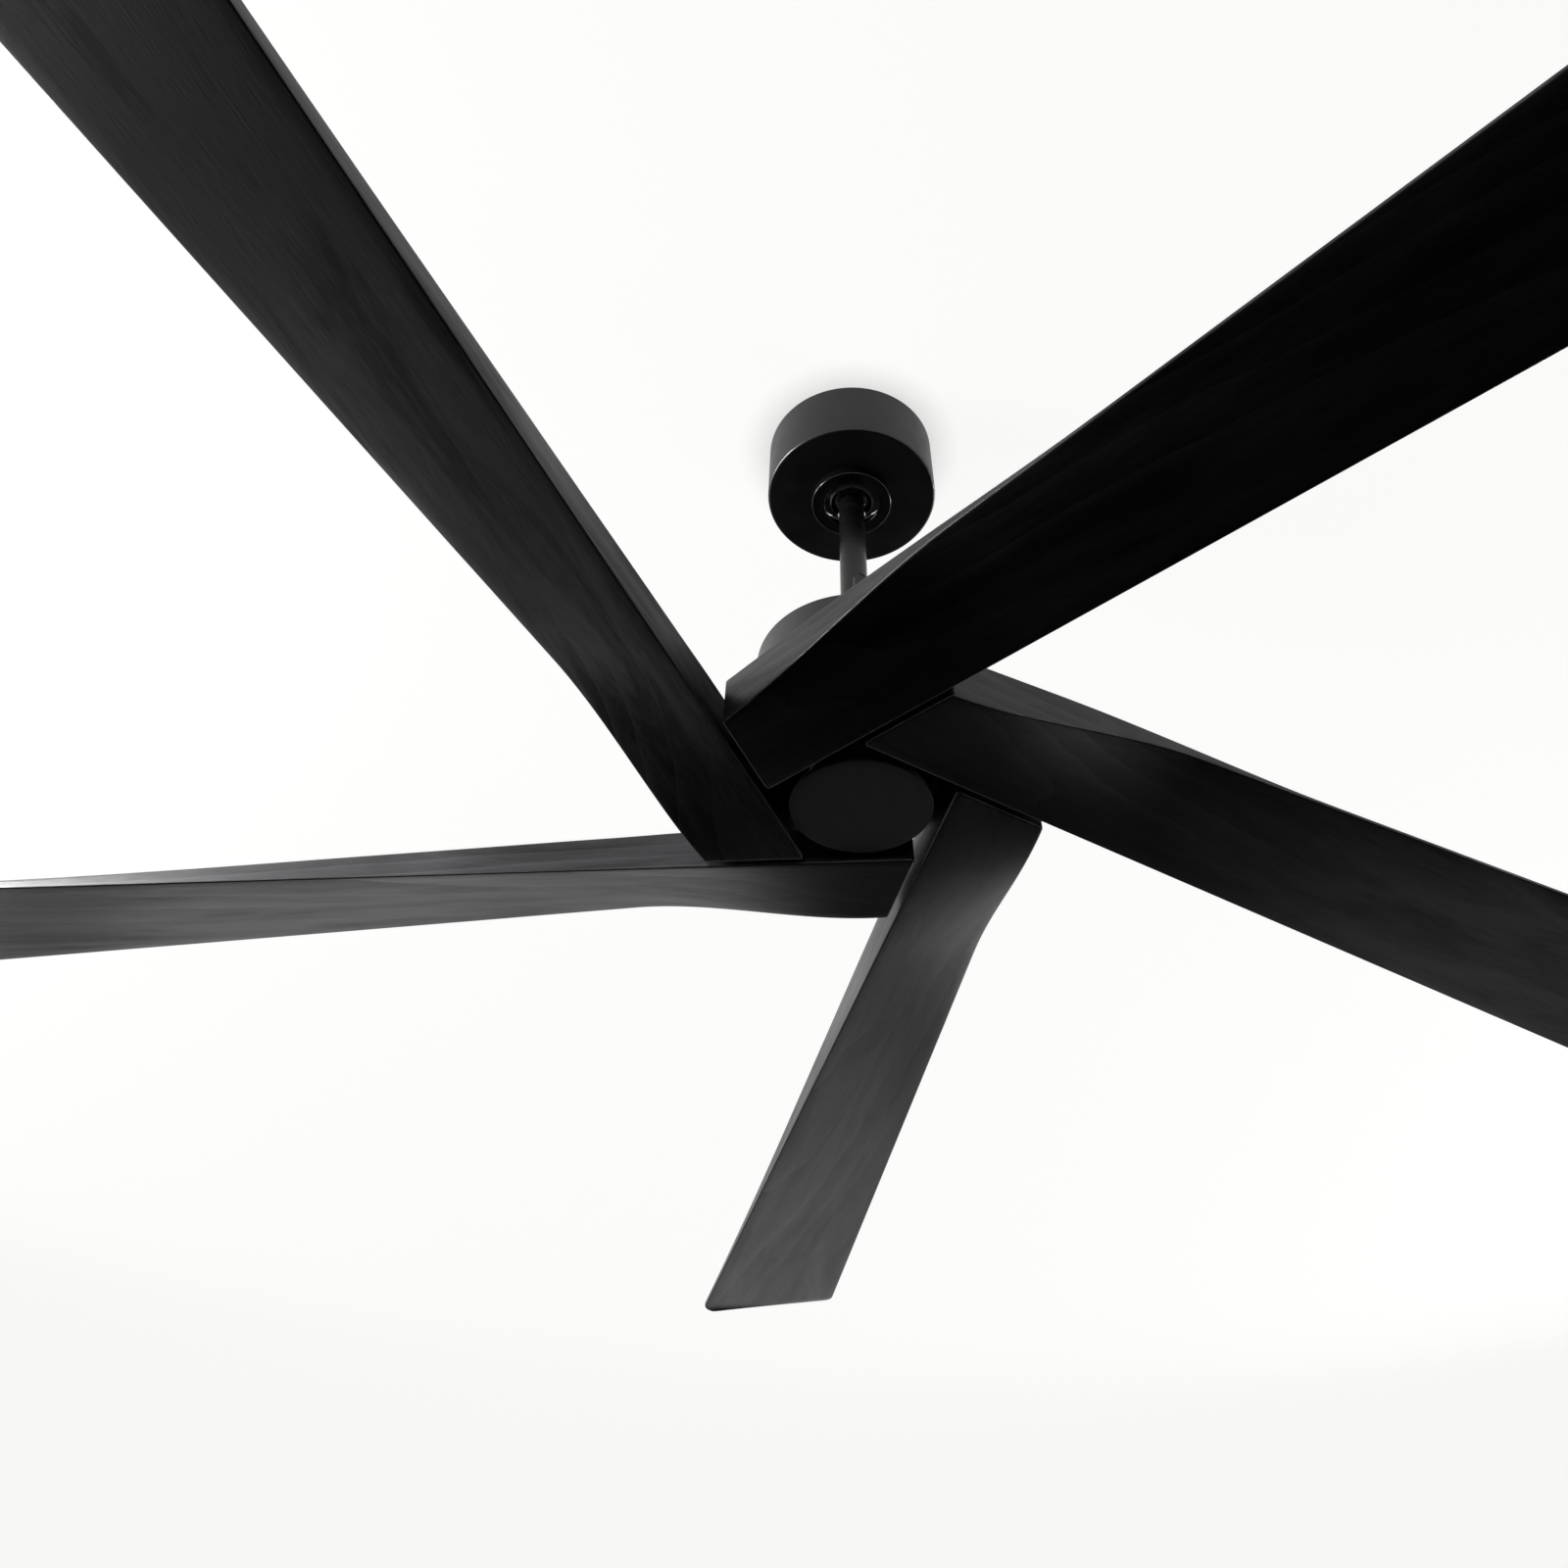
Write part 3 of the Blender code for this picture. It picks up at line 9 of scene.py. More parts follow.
import bmesh
import bpy
import numpy as np
from mathutils import Matrix, Vector


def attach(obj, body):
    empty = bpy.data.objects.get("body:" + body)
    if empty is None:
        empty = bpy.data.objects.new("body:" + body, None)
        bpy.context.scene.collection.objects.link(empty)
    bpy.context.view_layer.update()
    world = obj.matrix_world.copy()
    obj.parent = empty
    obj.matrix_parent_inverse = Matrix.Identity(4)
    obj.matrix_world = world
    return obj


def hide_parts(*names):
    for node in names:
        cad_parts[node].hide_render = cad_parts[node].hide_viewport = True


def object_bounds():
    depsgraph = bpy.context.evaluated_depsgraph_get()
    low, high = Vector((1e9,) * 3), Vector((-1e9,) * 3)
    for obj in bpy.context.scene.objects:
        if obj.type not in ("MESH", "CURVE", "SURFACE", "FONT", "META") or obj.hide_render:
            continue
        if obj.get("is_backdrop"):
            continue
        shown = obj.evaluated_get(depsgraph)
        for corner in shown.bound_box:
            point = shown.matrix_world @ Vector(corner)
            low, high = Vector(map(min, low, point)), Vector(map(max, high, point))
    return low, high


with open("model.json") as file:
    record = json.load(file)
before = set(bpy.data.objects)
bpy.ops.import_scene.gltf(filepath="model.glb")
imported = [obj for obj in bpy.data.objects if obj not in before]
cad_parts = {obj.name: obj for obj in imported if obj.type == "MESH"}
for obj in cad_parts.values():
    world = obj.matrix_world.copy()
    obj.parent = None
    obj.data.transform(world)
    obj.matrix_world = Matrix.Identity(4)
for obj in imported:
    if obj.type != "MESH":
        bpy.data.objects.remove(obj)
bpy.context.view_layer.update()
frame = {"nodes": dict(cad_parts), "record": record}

# Sizes of the pieces that are made afresh here, the same as in the CAD model
FAN_DROP, BALL_DROP = 0.410, 0.0495
STEP, FIRST_TURN = math.tau / 5, math.radians(-127.83)
GAP = 0.0003

CANOPY_RADIUS, CANOPY_HEIGHT, CANOPY_WALL, CANOPY_OPENING = 0.0729, 0.0655, 0.0015, 0.0270
TRIM_RADIUS, TRIM_HEIGHT, TRIM_WALL, TRIM_OPENING = 0.0344, 0.0087, 0.0012, 0.0236
BALL_RADIUS, BALL_TOP, ROD_RADIUS, ROD_WALL = 0.0250, 0.0080, 0.0110, 0.0020
ROD_TOP, ROD_BOTTOM = 0.0185, -0.2081
HOUSING_RADIUS, HOUSING_TOP, HOUSING_HEIGHT = 0.0749, 0.1343, 0.0903
HOUSING_WALL, HOUSING_ROOF, HOUSING_HOLE = 0.0020, 0.0030, 0.0125
CAP_RADIUS, CAP_THICKNESS = 0.0485, 0.0030
SPIGOT_RADIUS, SPIGOT_WALL, SPIGOT_HEIGHT = 0.0311, 0.0025, 0.0060

# Rounds of the pressed, turned and moulded edges
CANOPY_ROUND, CANOPY_LIP = 0.0024, 0.0005
TRIM_ROUND, TRIM_LIP = 0.0010, 0.0004
ROD_EASE = 0.0005
HOUSING_ROUND, HOUSING_EASE = 0.0018, 0.0004
CAP_ROUND, CAP_FLAT = 0.0009, 0.0400

# Blades: X runs across from the fan's axis, Y along from the hub to the tip
BLADE_OFFSET, BLADE_REACH, BLADE_PROUD = 0.0555, 0.8920, 0.0024
ROOT_WIDTH, TIP_WIDTH = 0.0684, 0.1480
ROOT_INNER, ROOT_OUTER, TIP_INNER = 0.0335, 0.0373, 0.0049
BLADE_LIFT, OUTER_THICKNESS, JOINT_GAP = 0.0267, 0.0028, 0.0050
BLADE_ROUND, ROOT_CORNER, TIP_CORNER, SEAT_END = 0.0016, 0.0040, 0.0140, 0.0560
SWEEP, SHOULDER, SKEW_END = (-0.0145, 0.1795), (0.0680, 0.2900), 0.0500
# How much of its height the inner face keeps, from the seat's end to the tip
CREST = ((0.0, 1.0), (0.08, 0.95), (0.14, 0.86), (0.20, 0.778), (0.28, 0.661),
         (0.40, 0.491), (0.54, 0.287), (0.69, 0.123), (0.86, 0.029), (1.0, 0.0))
TIP_EASE = (0.1, 0.3, 0.7)
ROOT_ROWS, SKEWED_ROWS, BOARD_ROWS, TIP_ROWS = 12, 24, 150, 14
CORNER_COLUMNS, FACE_COLUMNS, EDGE_COLUMNS = 6, 14, 4

# Screws: shank radius, length under the head, head radius, head height
SEAT_SLOPE = math.atan2(ROOT_OUTER - ROOT_INNER, ROOT_WIDTH)
ARM_THICKNESS = 0.0055
ARM_FOOT = -BLADE_PROUD + ROOT_INNER + GAP / math.cos(SEAT_SLOPE)
BLADE_SCREW = (0.0022, ARM_THICKNESS + GAP + 0.0160, 0.0044, 0.0026)
BLADE_SCREW_PLACES = ((0.0105, -0.0160), (0.0105, 0.0225), (0.0400, 0.0020))
ROTOR_SCREW, ROTOR_SCREW_PLACE = (0.0020, 0.0081, 0.0036, 0.0024), (0.0240, 0, 0.0392)
YOKE_SCREW, YOKE_SCREW_PLACE = (0.0015, 0.0096, 0.0027, 0.0020), (0.0202, 0, 0.1389)
CANOPY_SCREW, CANOPY_SCREW_REACH = (0.0015, 0.0066, 0.0026, 0.0018), 0.0305
CANOPY_SCREW_DROP = 0.0658
EAR_TURN = math.radians(-62.0)
SOCKET_SECTORS, SOCKET_WIDTH, SOCKET_FLOOR = 48, 0.52, 0.35

slot_of = {row["node"]: row["material_slot"] for row in frame["record"]["subparts"]}
body_of = {name: body for body, names in frame["record"]["behaviour"]["bodies"].items()
           for name in names}


# Meshes

def at(x, y, z):
    """Move to a place."""
    return Matrix.Translation((x, y, z))


def spin(angle):
    """Turn about Z."""
    return Matrix.Rotation(angle, 4, "Z")


def moved(points, matrix):
    """Points carried by a 4 by 4 matrix."""
    turn = np.array(matrix)
    return np.asarray(points) @ turn[:3, :3].T + turn[:3, 3]


def dress(name, mesh, material, stands_for, sharp):
    """Put a mesh in the scene in place of a CAD node, on the body that the node rides on.

    It is shaded smooth, with edges sharper than that many degrees kept crisp.
    """
    mesh.shade_smooth()
    mesh.set_sharp_from_angle(angle=math.radians(sharp))
    mesh.materials.append(material)
    obj = bpy.data.objects.new(name, mesh)
    bpy.context.scene.collection.objects.link(obj)
    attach(obj, body_of[stands_for])
    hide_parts(stands_for)


def piece(name, surface, frame_of_piece, material, stands_for, sharp=35.0):
    """Dress a CAD node with a new surface, its points and faces, carried to its place."""
    points, faces = surface
    mesh = bpy.data.meshes.new(name)
    mesh.from_pydata(moved(points, frame_of_piece).tolist(), [], faces)
    mesh.update()
    dress(name, mesh, material, stands_for, sharp)


def grid_faces(rows, columns, wrap_rows=False):
    """Quads of a grid: each row closes on itself, and the last row may meet the first."""
    r, c = np.meshgrid(np.arange(rows if wrap_rows else rows - 1), np.arange(columns),
                       indexing="ij")
    nr, nc = (r + 1) % rows, (c + 1) % columns
    quads = np.stack([nr * columns + c, nr * columns + nc, r * columns + nc, r * columns + c], -1)
    return quads.reshape(-1, 4).tolist()


def turned(profile, sectors):
    """Surface of revolution: point (i, j) is (r_i cos a_j, r_i sin a_j, z_i) for a closed outline.

    The outline runs down the outer side; an outline that starts and ends on the axis closes there
    with a fan of triangles.
    """
    outline = np.asarray(profile, float)
    angles = np.linspace(0, math.tau, sectors, endpoint=False)
    on_axis = outline[0, 0] < 1e-9
    rings = outline[1:-1] if on_axis else outline
    r, a = np.meshgrid(rings[:, 0], angles, indexing="ij")
    z = np.repeat(rings[:, 1][:, None], sectors, 1)
    points = np.stack([r * np.cos(a), r * np.sin(a), z], -1).reshape(-1, 3)
    faces = grid_faces(len(rings), sectors, wrap_rows=not on_axis)
    if on_axis:
        top, low = len(points), len(points) + 1
        points = np.vstack([points, [0, 0, outline[0, 1]], [0, 0, outline[-1, 1]]])
        last = (len(rings) - 1) * sectors
        step = np.arange(sectors)
        turn = (step + 1) % sectors
        faces += np.stack([step, turn, np.full(sectors, top)], 1).tolist()
        faces += np.stack([last + turn, last + step, np.full(sectors, low)], 1).tolist()
    return points, faces


def arc(centre, radius, start, end, steps=6):
    """Points of a circular arc: the centre plus radius (cos a, sin a), a in degrees."""
    a = np.radians(np.linspace(start, end, steps + 1))
    return [(centre[0] + radius * math.cos(v), centre[1] + radius * math.sin(v)) for v in a]


def socket_screw(radius, length, head_radius, head_height):
    """A cap screw turned about Z, with its head above z = 0 and a hexagonal socket in its top.

    The socket's two rings swell with the angle a by cos 30 / cos(a mod 60 - 30), a hexagon.
    """
    ease, across, floor = head_radius / 8, head_radius * SOCKET_WIDTH, head_height * SOCKET_FLOOR
    points, faces = turned(
        [(0, floor), (across, floor), (across, head_height), (head_radius - ease, head_height),
         (head_radius, head_height - ease), (head_radius, 0), (radius, 0),
         (radius, ease - length), (radius - ease, -length), (0, -length)], SOCKET_SECTORS)
    socket = points[:2 * SOCKET_SECTORS]
    a = np.degrees(np.arctan2(socket[:, 1], socket[:, 0])) % 60 - 30
    socket[:, :2] *= (math.cos(math.radians(30)) / np.cos(np.radians(a)))[:, None]
    return points, faces


def smoothstep(value, start, end):
    """Ease from 0 at start to 1 at end: 3 t squared less 2 t cubed."""
    t = np.clip((value - start) / (end - start), 0, 1)
    return t * t * (3 - 2 * t)


def crest(way):
    """Share of the inner face's height that is left: a monotone cubic through the table."""
    x, y = np.array(CREST).T
    width, slope = np.diff(x), np.diff(y) / np.diff(x)
    before, after = slope[:-1], slope[1:]
    middle = np.where(before * after > 0, 2 * before * after / (before + after), 0)
    tangent = np.concatenate([[slope[0]], middle, [slope[-1]]])
    k = np.clip(np.searchsorted(x, way, side="left") - 1, 0, len(width) - 1)
    t = np.clip((way - x[k]) / width[k], 0, 1)
    return ((1 + 2 * t) * (1 - t) ** 2 * y[k] + t * (1 - t) ** 2 * width[k] * tangent[k]
            + t * t * (3 - 2 * t) * y[k + 1] + t * t * (t - 1) * width[k] * tangent[k + 1])


def blade_heights(along):
    """Heights of a section's corners: inner bottom, outer bottom, outer top, inner top.

    The bottom's inner corner stays level and its outer one rises by BLADE_LIFT over SWEEP.  The
    top falls from a sloping block to a thin outer edge over SHOULDER, and its inner corner
    follows the crest.
    """
    way = np.clip((along - SEAT_END) / (BLADE_REACH - SEAT_END), 0, 1)
    inner = -BLADE_PROUD + TIP_INNER + (ROOT_INNER - TIP_INNER) * crest(way)
    outer_low = -BLADE_PROUD + BLADE_LIFT * smoothstep(along, *SWEEP)
    width = ROOT_WIDTH + (TIP_WIDTH - ROOT_WIDTH) * along / BLADE_REACH
    block_top = -BLADE_PROUD + ROOT_INNER + math.tan(SEAT_SLOPE) * width
    thin_top = -BLADE_PROUD + BLADE_LIFT + OUTER_THICKNESS
    outer_top = block_top + (thin_top - block_top) * smoothstep(along, *SHOULDER)
    return np.full_like(along, -BLADE_PROUD), outer_low, outer_top, inner


def root_line(across):
    """Where the root ends: parallel to the neighbour's inner face, one joint gap away."""
    return (across * math.cos(STEP) - BLADE_OFFSET + JOINT_GAP) / math.sin(STEP)


def fillet_inset(distance, radius):
    """How far a rounded corner stands back from its side at a distance from the end."""
    return radius * (1 - np.sqrt(1 - (1 - np.minimum(distance / radius, 1)) ** 2))


def blade_surface():
    """One blade, lofted: rows are sections from root to tip, columns go once round a section.

    A section has four corners, each eased by a quadratic curve of BLADE_ROUND, and straight sides
    between them.  Sections near the root are skewed to lie along the root line.
    """
    start, end = root_line(BLADE_OFFSET), BLADE_REACH - TIP_CORNER
    distance = ROOT_CORNER * (1 - np.cos(np.linspace(0, math.pi / 2, ROOT_ROWS)))
    ease = np.linspace(0, 1, SKEWED_ROWS)[1:]
    tip_turn = np.linspace(0, math.pi / 2, TIP_ROWS)[1:]
    station = np.concatenate([
        start + distance,
        start + ROOT_CORNER + (SKEW_END - start - ROOT_CORNER) * ease,
        SKEW_END + (end - SKEW_END) * np.linspace(0, 1, BOARD_ROWS)[1:],
        end + TIP_CORNER * np.sin(tip_turn)])
    skew, inset, side, corner = np.zeros((4, len(station)))
    skew[:ROOT_ROWS] = 1
    skew[ROOT_ROWS:ROOT_ROWS + len(ease)] = 1 - ease
    inset[:ROOT_ROWS] = fillet_inset(distance, BLADE_ROUND)
    inset[-len(TIP_EASE):] = BLADE_ROUND * np.array(TIP_EASE)
    side[-len(tip_turn):] = TIP_CORNER * (1 - np.cos(tip_turn))
    corner[:ROOT_ROWS] = fillet_inset(distance, ROOT_CORNER) - inset[:ROOT_ROWS]

    def slanted(across):
        """Where the rows cross the lines that run along the blade at these distances across."""
        return station + skew * (root_line(across) - start)

    edge = slanted(BLADE_OFFSET + ROOT_WIDTH)
    inner_across = BLADE_OFFSET + inset + side + corner
    outer_across = (BLADE_OFFSET + ROOT_WIDTH + (TIP_WIDTH - ROOT_WIDTH) * edge / BLADE_REACH
                    - inset - side)
    low_in, low_out, top_out, top_in = blade_heights(station)
    skewed_low, skewed_top = blade_heights(edge)[1:3]
    low_out = np.where(skew > 0, skewed_low, low_out)
    top_out = np.where(skew > 0, skewed_top, top_out)
    corners = np.stack([np.stack([inner_across, low_in + inset], -1),
                        np.stack([outer_across, low_out + inset], -1),
                        np.stack([outer_across, top_out - inset], -1),
                        np.stack([inner_across, top_in - inset], -1)], 1)
    ring = []
    for k in range(4):
        here, last, nxt = corners[:, k], corners[:, k - 1], corners[:, (k + 1) % 4]
        back, ahead = last - here, nxt - here
        back_length = np.linalg.norm(back, axis=-1, keepdims=True)
        ahead_length = np.linalg.norm(ahead, axis=-1, keepdims=True)
        reach = np.minimum(BLADE_ROUND, np.minimum(back_length, ahead_length) / 2)
        first, final = here + back / back_length * reach, here + ahead / ahead_length * reach
        for t in np.linspace(0, 1, CORNER_COLUMNS):
            ring.append(first * (1 - t) ** 2 + here * 2 * t * (1 - t) + final * t * t)
        far = nxt - ahead / ahead_length * np.minimum(BLADE_ROUND, ahead_length / 2)
        for t in np.linspace(0, 1, EDGE_COLUMNS if k % 2 else FACE_COLUMNS)[1:-1]:
            ring.append(final * (1 - t) + far * t)
    ring = np.stack(ring, 1)
    across, height = ring[..., 0], ring[..., 1]
    points = np.stack([across, slanted(across.T).T, height], -1)
    rows, columns = across.shape
    faces = grid_faces(rows, columns)
    faces.append(list(range(columns)))
    faces.append(list(range((rows - 1) * columns, rows * columns))[::-1])
    return points.reshape(-1, 3), faces


# Materials

# A noise keeps mostly between these values, and a Mix node's sockets have these places
NOISE = {"From Min": 0.3, "From Max": 0.7}
FACTOR, FLOAT_A, FLOAT_B, COLOUR_A, COLOUR_B = 0, 2, 3, 6, 7
# A wave node draws one wave in this many of its units
WAVE_UNIT = math.tau / 20

# Stained ash: ash rings are 2 to 5 mm apart and its pores 0.3 mm wide and some 10 mm long; both
# are drawn about three times as coarse here, so that they show at the picture's size
STAIN_DARK, STAIN_PALE = "#040404", "#303034"
TRUNK_DEPTH, TRUNK_DIP = 0.056, math.radians(2.6)
RING_SPACING, LATE_WOOD_EDGE, EARLY_WOOD_SHARE = 0.0110, 4.0, 0.45
PORE_SIZE, PORE_LENGTH, PORE_BUMP, PORE_DEPTH = 0.0011, 0.026, 0.10, 0.0003
WANDER_SIZE, WANDER_REACH = 0.080, 0.030
PATCH_SIZE, SMOKE_SIZE, FLOW_STRETCH = 0.070, 0.030, 0.16
RING_SHARE, CLOUD_SHARE, PORE_SHARE = 0.40, 0.75, 0.24
ROUGH_DARK, ROUGH_PALE = 0.38, 0.29
SHEEN_LOW, SHEEN_HIGH = 0.25, 1.0
# From board to board: where the heart of the tree lies across the blade, and the pattern's start
HEART_ACROSS, HEART_DRIFT, FLOW_DRIFT, BOARD_SHIFT = 0.75, 8, (40, 90), 0.011
# Figure and ground of the five boards.  Set board by board, they are partly painted light:
# some blades are made paler, as if lit, and others darker, as if shaded
BOARDS = ((0.45, 0.0), (0.42, 0.11), (0.45, 0.18), (0.70, 0.16), (1.0, 0.02))


def linear(code):
    """An sRGB hex colour as linear red, green, blue and an alpha of 1."""
    parts = np.array([int(code[i:i + 2], 16) for i in (1, 3, 5)]) / 255
    parts = np.where(parts <= 0.04045, parts / 12.92, ((parts + 0.055) / 1.055) ** 2.4)
    return (*parts.tolist(), 1.0)


def node(tree, kind, inputs=None, **settings):
    """Add a shader node with its settings, input values and links; inputs go by name or place."""
    made = tree.nodes.new(kind)
    for key, value in settings.items():
        setattr(made, key, value)
    for key, value in (inputs or {}).items():
        if isinstance(value, bpy.types.NodeSocket):
            tree.links.new(value, made.inputs[key])
        else:
            made.inputs[key].default_value = value
    return made


def fresh_material(name):
    """A material without nodes, its node tree and the Object coordinates in it."""
    made = bpy.data.materials.new(name)
    made.use_nodes = True
    tree = made.node_tree
    tree.nodes.clear()
    return made, tree, node(tree, "ShaderNodeTexCoord").outputs["Object"]


def finish_material(tree, shader):
    """Link a shader to the surface."""
    node(tree, "ShaderNodeOutputMaterial", {"Surface": shader.outputs[0]})


def powder_coat(name, code, roughness, grit):
    """Baked powder coat on steel: a matt skin whose melted grains leave a fine orange peel.

    The real peel is about 0.4 mm across, finer than a pixel here, so grit is somewhat coarser.
    The eye gets a soft, slightly uneven sheen, duller and brighter in patches of about 18 mm.
    """
    made, tree, place = fresh_material(name)
    peel = node(tree, "ShaderNodeTexNoise", {"Vector": place, "Scale": 1 / grit, "Detail": 2.0})
    cloud = node(tree, "ShaderNodeTexNoise", {"Vector": place, "Scale": 55.0, "Detail": 3.0})
    rough = node(tree, "ShaderNodeMapRange",
                 {**NOISE, "Value": cloud.outputs["Fac"],
                  "To Min": roughness - 0.05, "To Max": roughness + 0.05})
    speck = node(tree, "ShaderNodeMapRange",
                 {**NOISE, "Value": peel.outputs["Fac"], "To Min": 0.75, "To Max": 1.25})
    tint = node(tree, "ShaderNodeVectorMath", {0: linear(code)[:3], 1: speck.outputs["Result"]},
                operation="MULTIPLY")
    bump = node(tree, "ShaderNodeBump",
                {"Height": peel.outputs["Fac"], "Strength": 0.14, "Distance": grit / 8})
    shader = node(tree, "ShaderNodeBsdfPrincipled",
                  {"Base Color": tint.outputs["Vector"], "Roughness": rough.outputs["Result"],
                   "Normal": bump.outputs["Normal"], "IOR": 1.5})
    finish_material(tree, shader)
    return made


def stained_ash(name, turn, shift, figure, ground_and_painted_light):
    """Ash planed and stained black: flat-sawn growth rings, open pores and a soft oiled sheen.

    The pattern's X runs across the blade, Y along it and Z up.  The rings are cylinders round a
    trunk whose axis lies TRUNK_DEPTH under the board and dips slightly, so they meet the face in
    long arches.  Late wood is dense: it takes less stain and polishes brighter than early wood.
    Figure is how strongly that shows on this board, and ground is an even tone added to its
    paleness; set board by board, both are partly painted light, some blades paler as if lit.
    """
    made, tree, place = fresh_material(name)
    board = node(tree, "ShaderNodeMapping", {"Vector": place, "Rotation": (0, 0, -turn)})
    heart = BLADE_OFFSET + ROOT_WIDTH * (HEART_ACROSS - HEART_DRIFT * shift)
    trunk = node(tree, "ShaderNodeMapping",
                 {"Vector": board.outputs["Vector"],
                  "Location": (-heart, 0, FAN_DROP + TRUNK_DEPTH), "Rotation": (TRUNK_DIP, 0, 0)})
    flow = node(tree, "ShaderNodeMapping",
                {"Vector": board.outputs["Vector"],
                 "Location": (shift * FLOW_DRIFT[0], shift * FLOW_DRIFT[1], 0),
                 "Scale": (1, FLOW_STRETCH, 1)})
    # Rings, bent by a slow wander of the grain and fading away in patches
    wander = node(tree, "ShaderNodeTexNoise",
                  {"Vector": flow.outputs["Vector"], "Scale": 1 / WANDER_SIZE, "Detail": 3.0,
                   "Roughness": 0.5})
    sway = node(tree, "ShaderNodeVectorMath",
                {0: wander.outputs["Color"], 1: (WANDER_REACH, 0, WANDER_REACH),
                 2: trunk.outputs["Vector"]}, operation="MULTIPLY_ADD")
    rings = node(tree, "ShaderNodeTexWave",
                 {"Vector": sway.outputs["Vector"], "Scale": WAVE_UNIT / RING_SPACING},
                 wave_type="RINGS", rings_direction="Y", wave_profile="SAW")
    line = node(tree, "ShaderNodeMath", {0: rings.outputs["Fac"], 1: LATE_WOOD_EDGE},
                operation="POWER")
    band = node(tree, "ShaderNodeMath",
                {0: rings.outputs["Fac"], 1: EARLY_WOOD_SHARE, 2: line.outputs["Value"]},
                operation="MULTIPLY_ADD")
    patch = node(tree, "ShaderNodeTexNoise",
                 {"Vector": flow.outputs["Vector"], "Scale": 1 / PATCH_SIZE, "Detail": 2.0})
    fade = node(tree, "ShaderNodeMapRange",
                {"Value": patch.outputs["Fac"], "From Min": 0.40, "From Max": 0.60,
                 "To Min": 0.1})
    growth = node(tree, "ShaderNodeMath", {0: band.outputs["Value"], 1: fade.outputs["Result"]},
                  operation="MULTIPLY")
    # Pores, drawn out along the grain, and clouds of stain
    thread = node(tree, "ShaderNodeMapping",
                  {"Vector": sway.outputs["Vector"], "Scale": (1, PORE_SIZE / PORE_LENGTH, 1)})
    pore = node(tree, "ShaderNodeTexNoise",
                {"Vector": thread.outputs["Vector"], "Scale": 1 / PORE_SIZE, "Detail": 2.0})
    pores = node(tree, "ShaderNodeMapRange",
                 {"Value": pore.outputs["Fac"], "From Min": 0.35, "From Max": 0.75,
                  "To Min": -0.5, "To Max": 0.5})
    smoke = node(tree, "ShaderNodeTexNoise",
                 {"Vector": flow.outputs["Vector"], "Scale": 1 / SMOKE_SIZE, "Detail": 4.0,
                  "Roughness": 0.6, "Distortion": 0.6})
    clouds = node(tree, "ShaderNodeMapRange",
                  {"Value": smoke.outputs["Fac"], "From Min": 0.36, "From Max": 0.66,
                   "To Max": CLOUD_SHARE})
    grown = node(tree, "ShaderNodeMath",
                 {0: growth.outputs["Value"], 1: RING_SHARE, 2: clouds.outputs["Result"]},
                 operation="MULTIPLY_ADD")
    drawn = node(tree, "ShaderNodeMath",
                 {0: pores.outputs["Result"], 1: PORE_SHARE, 2: grown.outputs["Value"]},
                 operation="MULTIPLY_ADD")
    # An even tone lifts the whole board: partly painted light, set blade by blade
    pale = node(tree, "ShaderNodeMath", {0: drawn.outputs["Value"], 1: figure, 2: ground_and_painted_light},
                operation="MULTIPLY_ADD", use_clamp=True)
    # Where the wood is paler it is also smoother and glossier.  The gloss is linked because it
    # changes over the board; an export drops it and keeps colour, roughness and bump
    tint = node(tree, "ShaderNodeMix",
                {FACTOR: pale.outputs["Value"], COLOUR_A: linear(STAIN_DARK),
                 COLOUR_B: linear(STAIN_PALE)}, data_type="RGBA")
    rough = node(tree, "ShaderNodeMapRange",
                 {"Value": pale.outputs["Value"], "To Min": ROUGH_DARK, "To Max": ROUGH_PALE})
    sheen = node(tree, "ShaderNodeMapRange",
                 {"Value": pale.outputs["Value"], "To Min": SHEEN_LOW, "To Max": SHEEN_HIGH})
    bump = node(tree, "ShaderNodeBump",
                {"Height": pores.outputs["Result"], "Strength": PORE_BUMP,
                 "Distance": PORE_DEPTH})
    shader = node(tree, "ShaderNodeBsdfPrincipled",
                  {"Base Color": tint.outputs[2], "Roughness": rough.outputs["Result"],
                   "Specular IOR Level": sheen.outputs["Result"],
                   "Normal": bump.outputs["Normal"], "IOR": 1.48})
    finish_material(tree, shader)
    return made


def moulded_plastic(name, code, roughness, ior, grain, strength, depth):
    """Moulded plastic or pressed ceramic: the skin of its mould, with grain bumps to the metre.

    ABS and nylon keep the fine spark texture of the tool, which dulls them; nylon buffed to a
    gloss keeps only ripples of some 2 mm, which make its highlights waver.
    """
    made, tree, place = fresh_material(name)
    skin = node(tree, "ShaderNodeTexNoise", {"Vector": place, "Scale": grain, "Detail": 2.0})
    bump = node(tree, "ShaderNodeBump",
                {"Height": skin.outputs["Fac"], "Strength": strength, "Distance": depth})
    shader = node(tree, "ShaderNodeBsdfPrincipled",
                  {"Base Color": linear(code), "Roughness": roughness, "IOR": ior,
                   "Normal": bump.outputs["Normal"]})
    finish_material(tree, shader)
    return made


